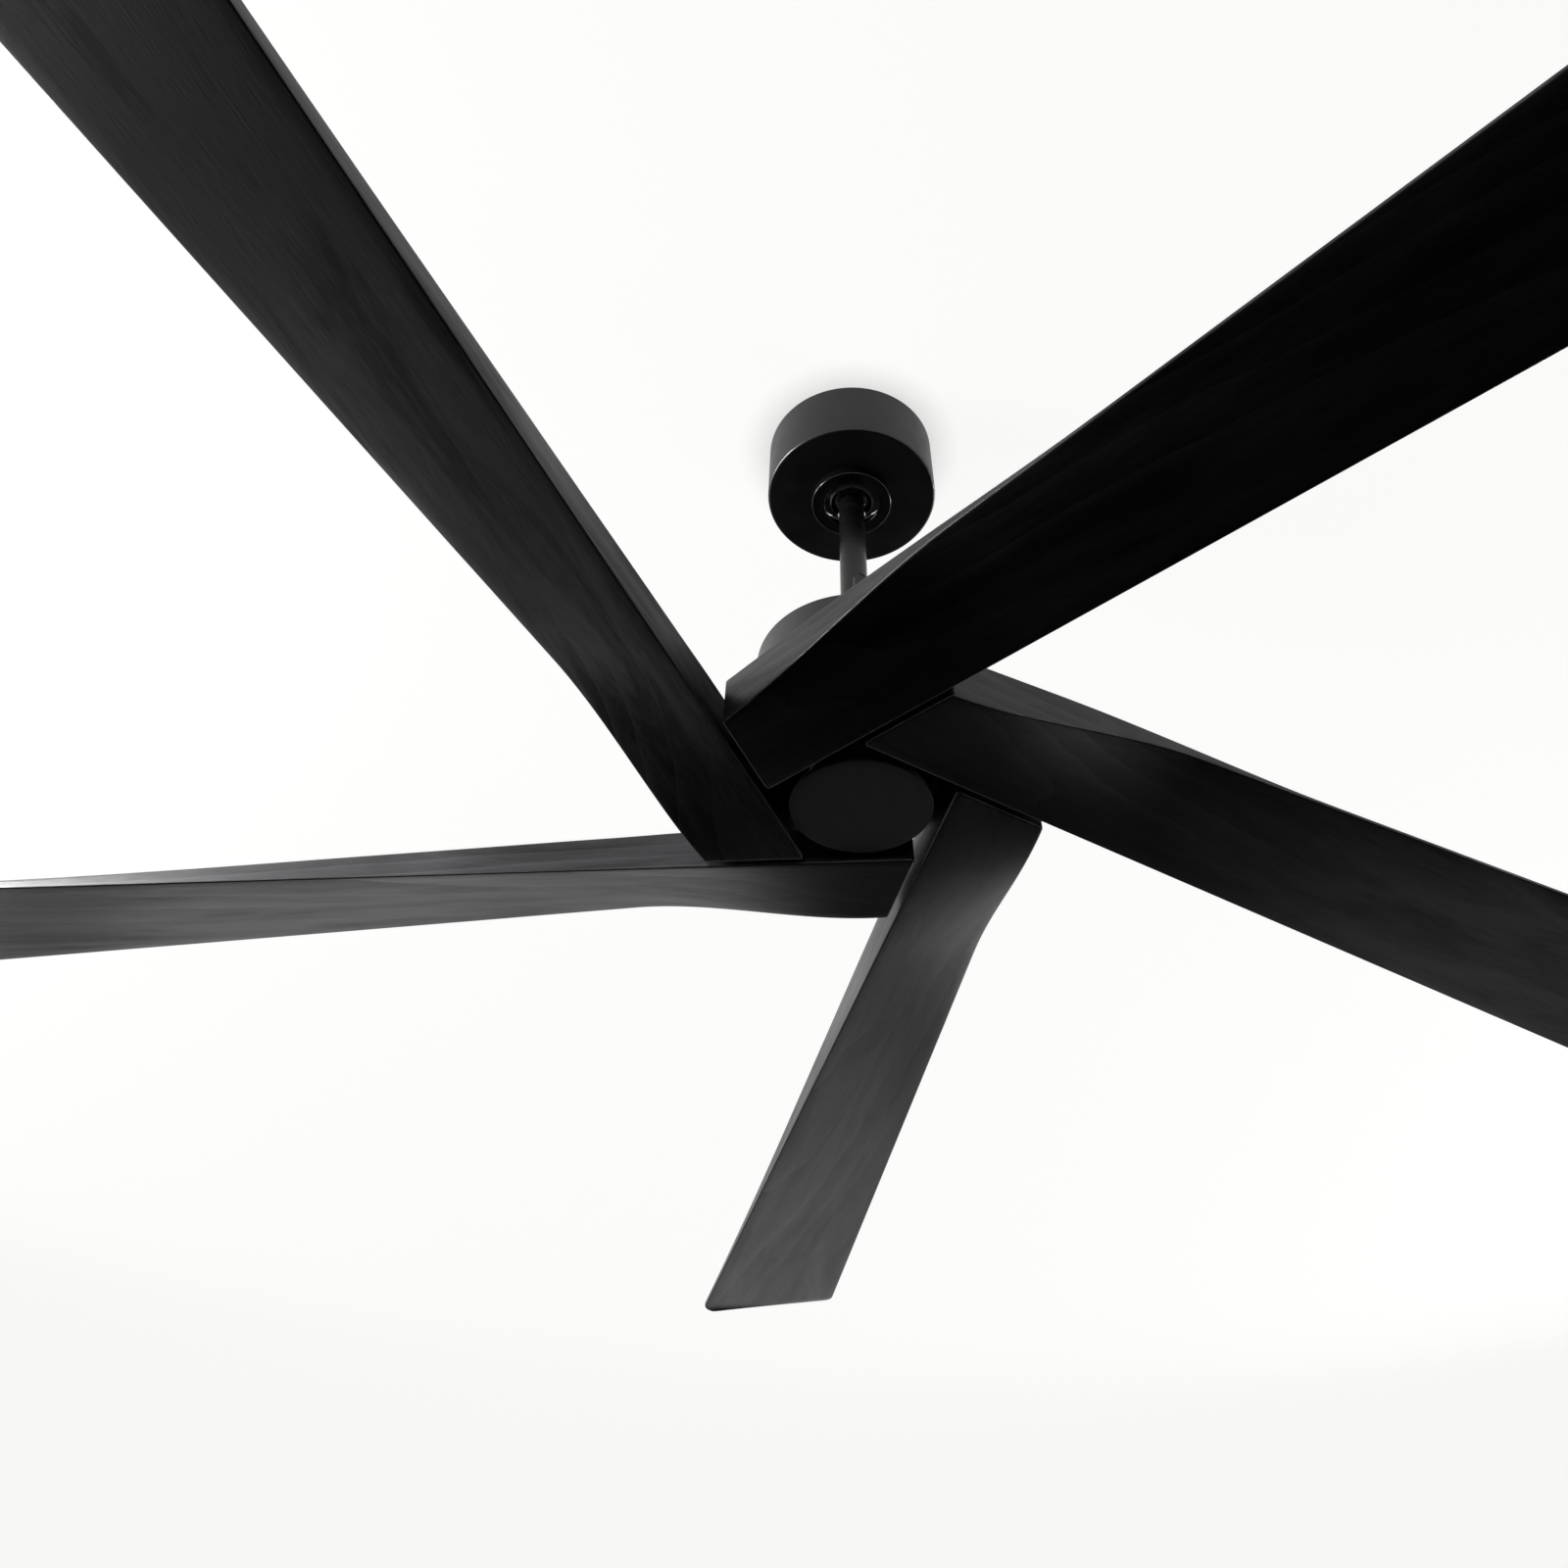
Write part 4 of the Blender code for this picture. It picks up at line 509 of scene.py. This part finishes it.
def worked_metal(name, code, roughness, stretch, size):
    """Bare or plated metal: stretch of 1 is a cast or spangled skin, a large one is turned or
    rolled, with its marks running round the fan's axis in thin bands."""
    made, tree, place = fresh_material(name)
    marks = node(tree, "ShaderNodeMapping", {"Vector": place, "Scale": (1, 1, stretch)})
    grain = node(tree, "ShaderNodeTexNoise",
                 {"Vector": marks.outputs["Vector"], "Scale": 1 / size, "Detail": 3.0})
    rough = node(tree, "ShaderNodeMapRange",
                 {**NOISE, "Value": grain.outputs["Fac"],
                  "To Min": roughness - 0.07, "To Max": roughness + 0.07})
    shade = node(tree, "ShaderNodeMapRange",
                 {**NOISE, "Value": grain.outputs["Fac"], "To Min": 0.86, "To Max": 1.1})
    tint = node(tree, "ShaderNodeVectorMath", {0: linear(code)[:3], 1: shade.outputs["Result"]},
                operation="MULTIPLY")
    bump = node(tree, "ShaderNodeBump",
                {"Height": grain.outputs["Fac"], "Strength": 0.15, "Distance": 0.0002})
    shader = node(tree, "ShaderNodeBsdfPrincipled",
                  {"Base Color": tint.outputs["Vector"], "Metallic": 1.0,
                   "Roughness": rough.outputs["Result"], "Normal": bump.outputs["Normal"]})
    finish_material(tree, shader)
    return made


def wound_copper(name, code, wire):
    """Enamelled copper wire laid in turns: rounded ridges, one wire apart, from the axis out."""
    made, tree, place = fresh_material(name)
    turns = node(tree, "ShaderNodeTexWave",
                 {"Vector": place, "Scale": 0.314 / wire, "Distortion": 0.4,
                  "Detail Scale": 40.0}, wave_type="RINGS", rings_direction="Z")
    bump = node(tree, "ShaderNodeBump",
                {"Height": turns.outputs["Fac"], "Strength": 0.8, "Distance": 0.0004})
    shader = node(tree, "ShaderNodeBsdfPrincipled",
                  {"Base Color": linear(code), "Metallic": 1.0, "Roughness": 0.35,
                   "Normal": bump.outputs["Normal"]})
    finish_material(tree, shader)
    return made


# Coats: canopy and housing are satin, the trim ring and the rod glossier, so that thin light
# lines run along them; the casting is dull, and the cap's coarse grain greys it
canopy_coat = powder_coat("black_powder_coat_canopy", "#101010", 0.33, 0.0007)
trim_coat = powder_coat("black_gloss_coat_trim", "#0a0a0a", 0.18, 0.0007)
rod_coat = powder_coat("black_gloss_coat_rod", "#0a0a0a", 0.23, 0.0007)
housing_coat = powder_coat("black_powder_coat_housing", "#131313", 0.36, 0.0007)
carrier_coat = powder_coat("black_powder_coat_casting", "#121212", 0.52, 0.0009)
cap_coat = powder_coat("grained_black_powder_coat", "#2a2a2a", 0.58, 0.0012)
# Mouldings: the buffed ball throws small highlights, the liner and the receiver's case are dull
ball_gloss = moulded_plastic("buffed_black_nylon", "#070707", 0.14, 1.53, 420.0, 0.35, 0.0004)
liner_nylon = moulded_plastic("moulded_black_nylon", "#141414", 0.5, 1.5, 1400.0, 0.3, 0.0001)
receiver_abs = moulded_plastic("moulded_black_abs", "#1b1b1d", 0.45, 1.5, 1400.0, 0.3, 0.0001)
ferrite = moulded_plastic("sintered_ferrite", "#3c3c3e", 0.6, 1.5, 1400.0, 0.3, 0.0001)
# Metals: zinc shows a soft spangle, turned steel thin bright bands, the casting a sandy skin,
# the laminations fine stripes and the windings a ribbed copper gleam
zinc = worked_metal("zinc_plated_steel", "#a9adb2", 0.38, 1.0, 0.006)
bright = worked_metal("turned_bright_steel", "#b7b9bd", 0.28, 8.0, 0.002)
cast = worked_metal("cast_aluminium", "#9a9c9e", 0.50, 1.0, 0.0012)
laminated = worked_metal("stacked_steel_laminations", "#6f7074", 0.5, 30.0, 0.012)
copper = wound_copper("enamelled_copper_wire", "#b5652d", 0.0009)


# Ceiling end: each outline is radius and height, measured from the piece's own level
at_ceiling, at_ball, at_cap = at(0, 0, 0), at(0, 0, -BALL_DROP), at(0, 0, -FAN_DROP)

edge = (CANOPY_RADIUS - CANOPY_ROUND, CANOPY_ROUND - CANOPY_HEIGHT)
piece("canopy_shell", turned(
    [(CANOPY_RADIUS, 0)] + arc(edge, CANOPY_ROUND, 0, -90)
    + [(CANOPY_OPENING + CANOPY_LIP, -CANOPY_HEIGHT),
       (CANOPY_OPENING, CANOPY_LIP - CANOPY_HEIGHT),
       (CANOPY_OPENING, CANOPY_WALL - CANOPY_HEIGHT)]
    + arc(edge, CANOPY_ROUND - CANOPY_WALL, -90, 0, 3) + [(CANOPY_RADIUS - CANOPY_WALL, 0)],
    192), at_ceiling, canopy_coat, "canopy")

top = -CANOPY_HEIGHT - GAP
low = top - TRIM_HEIGHT
piece("trim_collar", turned(
    [(TRIM_RADIUS, top)] + arc((TRIM_RADIUS - TRIM_ROUND, low + TRIM_ROUND), TRIM_ROUND, 0, -90)
    + arc((TRIM_OPENING + TRIM_LIP, low + TRIM_LIP), TRIM_LIP, -90, -180, 3)
    + [(TRIM_OPENING, low + TRIM_WALL), (TRIM_RADIUS - TRIM_WALL, low + TRIM_WALL),
       (TRIM_RADIUS - TRIM_WALL, top)], 160), at_ceiling, trim_coat, "canopy_trim_ring")

bore = ROD_RADIUS + GAP
rise = math.degrees(math.asin(BALL_TOP / BALL_RADIUS))
fall = -math.degrees(math.acos(bore / BALL_RADIUS))
piece("buffed_ball", turned(arc((0, 0), BALL_RADIUS, rise, fall, 40) + [(bore, BALL_TOP)], 144),
      at_ball, ball_gloss, "hanger_ball")

inside = ROD_RADIUS - ROD_WALL
piece("rod_tube", turned(
    [(ROD_RADIUS - ROD_EASE, ROD_TOP), (ROD_RADIUS, ROD_TOP - ROD_EASE),
     (ROD_RADIUS, ROD_BOTTOM + ROD_EASE), (ROD_RADIUS - ROD_EASE, ROD_BOTTOM),
     (inside, ROD_BOTTOM), (inside, ROD_TOP)], 96), at_ball, rod_coat, "downrod")

# Motor housing and bottom cap
low = HOUSING_TOP - HOUSING_HEIGHT
inside = HOUSING_RADIUS - HOUSING_WALL
under = HOUSING_TOP - HOUSING_ROOF
piece("housing_can", turned(
    arc((HOUSING_RADIUS - HOUSING_ROUND, HOUSING_TOP - HOUSING_ROUND), HOUSING_ROUND, 90, 0)
    + [(HOUSING_RADIUS, low + HOUSING_EASE), (HOUSING_RADIUS - HOUSING_EASE, low), (inside, low),
       (inside, under), (HOUSING_HOLE, under), (HOUSING_HOLE, HOUSING_TOP)], 192),
      at_cap, housing_coat, "motor_housing")

inside = SPIGOT_RADIUS - SPIGOT_WALL
top = CAP_THICKNESS + SPIGOT_HEIGHT
piece("cap_disc", turned(
    [(0, CAP_THICKNESS), (inside, CAP_THICKNESS), (inside, top), (SPIGOT_RADIUS, top),
     (SPIGOT_RADIUS, CAP_THICKNESS), (CAP_RADIUS, CAP_THICKNESS)]
    + arc((CAP_RADIUS - CAP_ROUND, CAP_ROUND), CAP_ROUND, 0, -90)
    + [(CAP_FLAT, 0), (0, 0)], 192), at_cap, cap_coat, "bottom_cap")

# Blades, each with its own board of wood, whose even tone is partly painted light, set blade by
# blade
board_surface = blade_surface()
for number, (figure, ground_and_painted_light) in enumerate(BOARDS):
    turn = FIRST_TURN + number * STEP
    wood = stained_ash("black_stained_ash_%d" % (number + 1), turn, BOARD_SHIFT * number, figure,
                       ground_and_painted_light)
    piece("carved_blade_%d" % (number + 1), board_surface, at_cap @ spin(turn), wood,
          "blade_%d" % (number + 1), 50.0)

# Screws, each at a frame whose +Z points out of its head
upward = Matrix.Rotation(math.pi, 4, "X")
arm = at(BLADE_OFFSET, 0, ARM_FOOT) @ Matrix.Rotation(-SEAT_SLOPE, 4, "Y")
screws = []
for number in range(5):
    stand = at_cap @ spin(FIRST_TURN + number * STEP)
    screws += [("blade_%d_screw_%d" % (number + 1, index + 1), BLADE_SCREW,
                stand @ arm @ at(x, y, ARM_THICKNESS + GAP))
               for index, (x, y) in enumerate(BLADE_SCREW_PLACES)]
    screws.append(("rotor_screw_%d" % (number + 1), ROTOR_SCREW,
                   stand @ at(*ROTOR_SCREW_PLACE) @ upward))
for number in range(3):
    ear = spin(EAR_TURN + math.tau * (number + 1) / 3)
    screws.append(("yoke_screw_%d" % (number + 1), YOKE_SCREW,
                   at_cap @ ear @ at(*YOKE_SCREW_PLACE)))
for number in range(2):
    place = at(CANOPY_SCREW_REACH * (2 * number - 1), 0, -CANOPY_SCREW_DROP)
    screws.append(("canopy_screw_%d" % (number + 1), CANOPY_SCREW, place @ upward))
for name, sizes, stand in screws:
    piece("socket_" + name, socket_screw(*sizes), stand, bright, name, 30.0)

# The rest keeps its CAD shape: a welded copy is shaded smooth and gets its finish
finishes = {"yoke_paint": rod_coat, "carrier_paint": carrier_coat, "zinc_steel": zinc,
            "nylon": liner_nylon, "receiver_plastic": receiver_abs, "cast_alloy": cast,
            "ferrite": ferrite, "laminations": laminated, "copper_winding": copper,
            "bright_steel": bright}
for name, obj in frame["nodes"].items():
    if obj.hide_render:
        continue
    work = bmesh.new()
    work.from_mesh(obj.data)
    bmesh.ops.remove_doubles(work, verts=work.verts, dist=0.00001)
    mesh = bpy.data.meshes.new("smooth_" + name)
    work.to_mesh(mesh)
    work.free()
    dress("smooth_" + name, mesh, finishes[slot_of[name]], name, 30.0)


# Stage: a white ceiling that is seen from below only, and a floor

def wide_plane(name, height, faces_down, material):
    """A square of 24 m at one height."""
    corners = [(-12, -12, height), (12, -12, height), (12, 12, height), (-12, 12, height)]
    mesh = bpy.data.meshes.new(name)
    mesh.from_pydata(corners[::-1] if faces_down else corners, [], [(0, 1, 2, 3)])
    mesh.materials.append(material)
    obj = bpy.data.objects.new(name, mesh)
    bpy.context.scene.collection.objects.link(obj)
    obj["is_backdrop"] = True


def shown_to_eye_and_gloss(tree):
    """1 for a camera, glossy or transmitted ray and 0 for any other."""
    ray = node(tree, "ShaderNodeLightPath")
    either = node(tree, "ShaderNodeMath",
                  {0: ray.outputs["Is Camera Ray"], 1: ray.outputs["Is Glossy Ray"]},
                  operation="MAXIMUM")
    return node(tree, "ShaderNodeMath",
                {0: either.outputs["Value"], 1: ray.outputs["Is Transmission Ray"]},
                operation="MAXIMUM").outputs["Value"]


# To the eye the ceiling is mostly its own white, so that the lamps' pools stay out of sight, with
# the soft shadow at the canopy's foot; gloss also shows how the fan shades the ceiling above it
CEILING_HEIGHT, CEILING_TINT = 0.0006, "#fefefd"
CEILING_GLOW, CEILING_SEEN, CEILING_SEEN_AT_FOOT = 0.28, 0.93, 0.70
CEILING_MIRRORED_NEAR, CEILING_MIRRORED, CEILING_SHADED = 0.38, 0.62, (0.05, 0.90)
CEILING_PAINT, CEILING_PAINT_SEEN = 0.80, 0.20
FOOT_REACH = 0.030
white_ceiling, tree, place = fresh_material("white_painted_plaster")
ray = node(tree, "ShaderNodeLightPath")
apart = node(tree, "ShaderNodeVectorMath", {0: place}, operation="LENGTH")
mirrored = node(tree, "ShaderNodeMapRange",
                {"Value": apart.outputs["Value"], "From Min": CEILING_SHADED[0],
                 "From Max": CEILING_SHADED[1], "To Min": CEILING_MIRRORED_NEAR,
                 "To Max": CEILING_MIRRORED})
unseen = node(tree, "ShaderNodeMix",
              {FACTOR: shown_to_eye_and_gloss(tree), FLOAT_A: CEILING_GLOW,
               FLOAT_B: mirrored.outputs["Result"]})
foot = node(tree, "ShaderNodeAmbientOcclusion", {"Distance": FOOT_REACH}, samples=8)
white = node(tree, "ShaderNodeMapRange",
             {"Value": foot.outputs["AO"], "From Min": 0.5, "To Min": CEILING_SEEN_AT_FOOT,
              "To Max": CEILING_SEEN})
glow = node(tree, "ShaderNodeMix",
            {FACTOR: ray.outputs["Is Camera Ray"], FLOAT_A: unseen.outputs[0],
             FLOAT_B: white.outputs["Result"]})
shade = node(tree, "ShaderNodeMapRange",
             {"Value": ray.outputs["Is Camera Ray"], "To Min": CEILING_PAINT,
              "To Max": CEILING_PAINT_SEEN})
paint = node(tree, "ShaderNodeBsdfDiffuse", {"Color": shade.outputs["Result"]})
light = node(tree, "ShaderNodeEmission",
             {"Color": linear(CEILING_TINT), "Strength": glow.outputs[0]})
both = node(tree, "ShaderNodeAddShader", {0: paint.outputs[0], 1: light.outputs[0]})
clear = node(tree, "ShaderNodeBsdfTransparent")
side = node(tree, "ShaderNodeNewGeometry")
finish_material(tree, node(tree, "ShaderNodeMixShader",
                           {0: side.outputs["Backfacing"], 1: both.outputs[0],
                            2: clear.outputs[0]}))
wide_plane("ceiling", CEILING_HEIGHT, True, white_ceiling)

# The floor is pale to the eye alone.  Gloss and light find it dark, because the undersides of
# the blades in the photograph are nearly black, as over the floor of a dark room
FLOOR_HEIGHT, FLOOR_SEEN, FLOOR_UNSEEN = -2.6, 0.96, "#2b2b2b"
pale_floor, tree, _ = fresh_material("pale_floor_paint")
ray = node(tree, "ShaderNodeLightPath")
shine = node(tree, "ShaderNodeMath", {0: ray.outputs["Is Camera Ray"], 1: FLOOR_SEEN},
             operation="MULTIPLY")
paint = node(tree, "ShaderNodeBsdfDiffuse", {"Color": linear(FLOOR_UNSEEN)})
light = node(tree, "ShaderNodeEmission", {"Strength": shine.outputs["Value"]})
finish_material(tree, node(tree, "ShaderNodeAddShader", {0: paint.outputs[0],
                                                         1: light.outputs[0]}))
wide_plane("floor", FLOOR_HEIGHT, False, pale_floor)

# The room is white to the eye, and to gloss too towards +Y; towards -Y gloss sees brighter
# windows, which draw a thin light line along the edges
WORLD_LIGHT, WORLD_SEEN, WORLD_MIRRORED, WINDOWS_MIRRORED = 0.24, 1.0, 0.8, 3.2
WINDOWS_FADE = (0.35, -0.1)
world = bpy.data.worlds.new("pale_room")
world.use_nodes = True
tree = world.node_tree
tree.nodes.clear()
ray = node(tree, "ShaderNodeLightPath")
way = node(tree, "ShaderNodeSeparateXYZ",
           {0: node(tree, "ShaderNodeTexCoord").outputs["Generated"]})
windows = node(tree, "ShaderNodeMapRange",
               {"Value": way.outputs["Y"], "From Min": WINDOWS_FADE[0],
                "From Max": WINDOWS_FADE[1], "To Min": WORLD_MIRRORED,
                "To Max": WINDOWS_MIRRORED})
around = node(tree, "ShaderNodeMix",
              {FACTOR: shown_to_eye_and_gloss(tree), FLOAT_A: WORLD_LIGHT,
               FLOAT_B: windows.outputs["Result"]})
room = node(tree, "ShaderNodeMix",
            {FACTOR: ray.outputs["Is Camera Ray"], FLOAT_A: around.outputs[0],
             FLOAT_B: WORLD_SEEN})
sky = node(tree, "ShaderNodeBackground", {"Color": (1, 1, 1, 1), "Strength": room.outputs[0]})
node(tree, "ShaderNodeOutputWorld", {"Surface": sky.outputs[0]})
bpy.context.scene.world = world

# Soft boxes: name, place, what they point at, side and watts
FAN_MIDDLE, LEFT_BLADE = (0, 0, -0.38), (-0.55, 0, -0.39)
SOFT_BOXES = (
    ("beside_left_tip", (-1.42, -0.45, -0.03), LEFT_BLADE, 0.35, 60.0),
    ("left_high", (-2.20, 0, -0.10), FAN_MIDDLE, 0.5, 46.0),
    ("right_high", (1.905, 1.10, -0.10), FAN_MIDDLE, 0.5, 30.0),
    ("back_left", (-2.078, 1.20, -0.75), FAN_MIDDLE, 0.9, 3.2),
    ("back_left_end", (-1.20, 2.078, -0.75), FAN_MIDDLE, 0.9, 0.9),
    ("back", (0, 2.40, -0.75), FAN_MIDDLE, 0.9, 1.0),
    ("back_right", (1.20, 2.078, -0.75), FAN_MIDDLE, 0.9, 3.6),
    ("right_low", (1.485, 1.485, -1.60), FAN_MIDDLE, 0.9, 1.2),
    ("glint_left", (-2.10, -0.10, -1.60), FAN_MIDDLE, 0.16, 0.25),
    ("glint_right", (2.10, -0.10, -1.60), FAN_MIDDLE, 0.16, 0.25),
)
for name, stand, target, width, power in SOFT_BOXES:
    lamp = bpy.data.lights.new(name, "AREA")
    lamp.shape = "SQUARE"
    lamp.size = width
    lamp.energy = power
    holder = bpy.data.objects.new(name, lamp)
    holder.location = stand
    holder.rotation_euler = (Vector(target) - Vector(stand)).to_track_quat("-Z", "Y").to_euler()
    holder.visible_camera = False
    bpy.context.scene.collection.objects.link(holder)

# Camera, solved from the circles and straight edges in the photograph
EYE_PLACE = (0, -0.6770, -0.9620)
EYE_FORWARD, EYE_UP = (-0.0913, 0.6443, 0.7593), (0.0317, -0.7603, 0.6489)
camera = bpy.data.cameras.new("camera")
camera.sensor_width, camera.lens = 36.0, 29.248
camera.shift_x, camera.shift_y = 0.0301, -0.1331
camera.clip_start, camera.clip_end = 0.01, 60
eye = bpy.data.objects.new("camera", camera)
forward = Vector(EYE_FORWARD).normalized()
right = forward.cross(Vector(EYE_UP)).normalized()
up = right.cross(forward)
eye.matrix_world = at(*EYE_PLACE) @ Matrix((right, up, -forward)).transposed().to_4x4()
bpy.context.scene.collection.objects.link(eye)
bpy.context.scene.camera = eye
bpy.context.scene.view_settings.view_transform = "Standard"

# Box round everything that is shown, the stage left out
low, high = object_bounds()
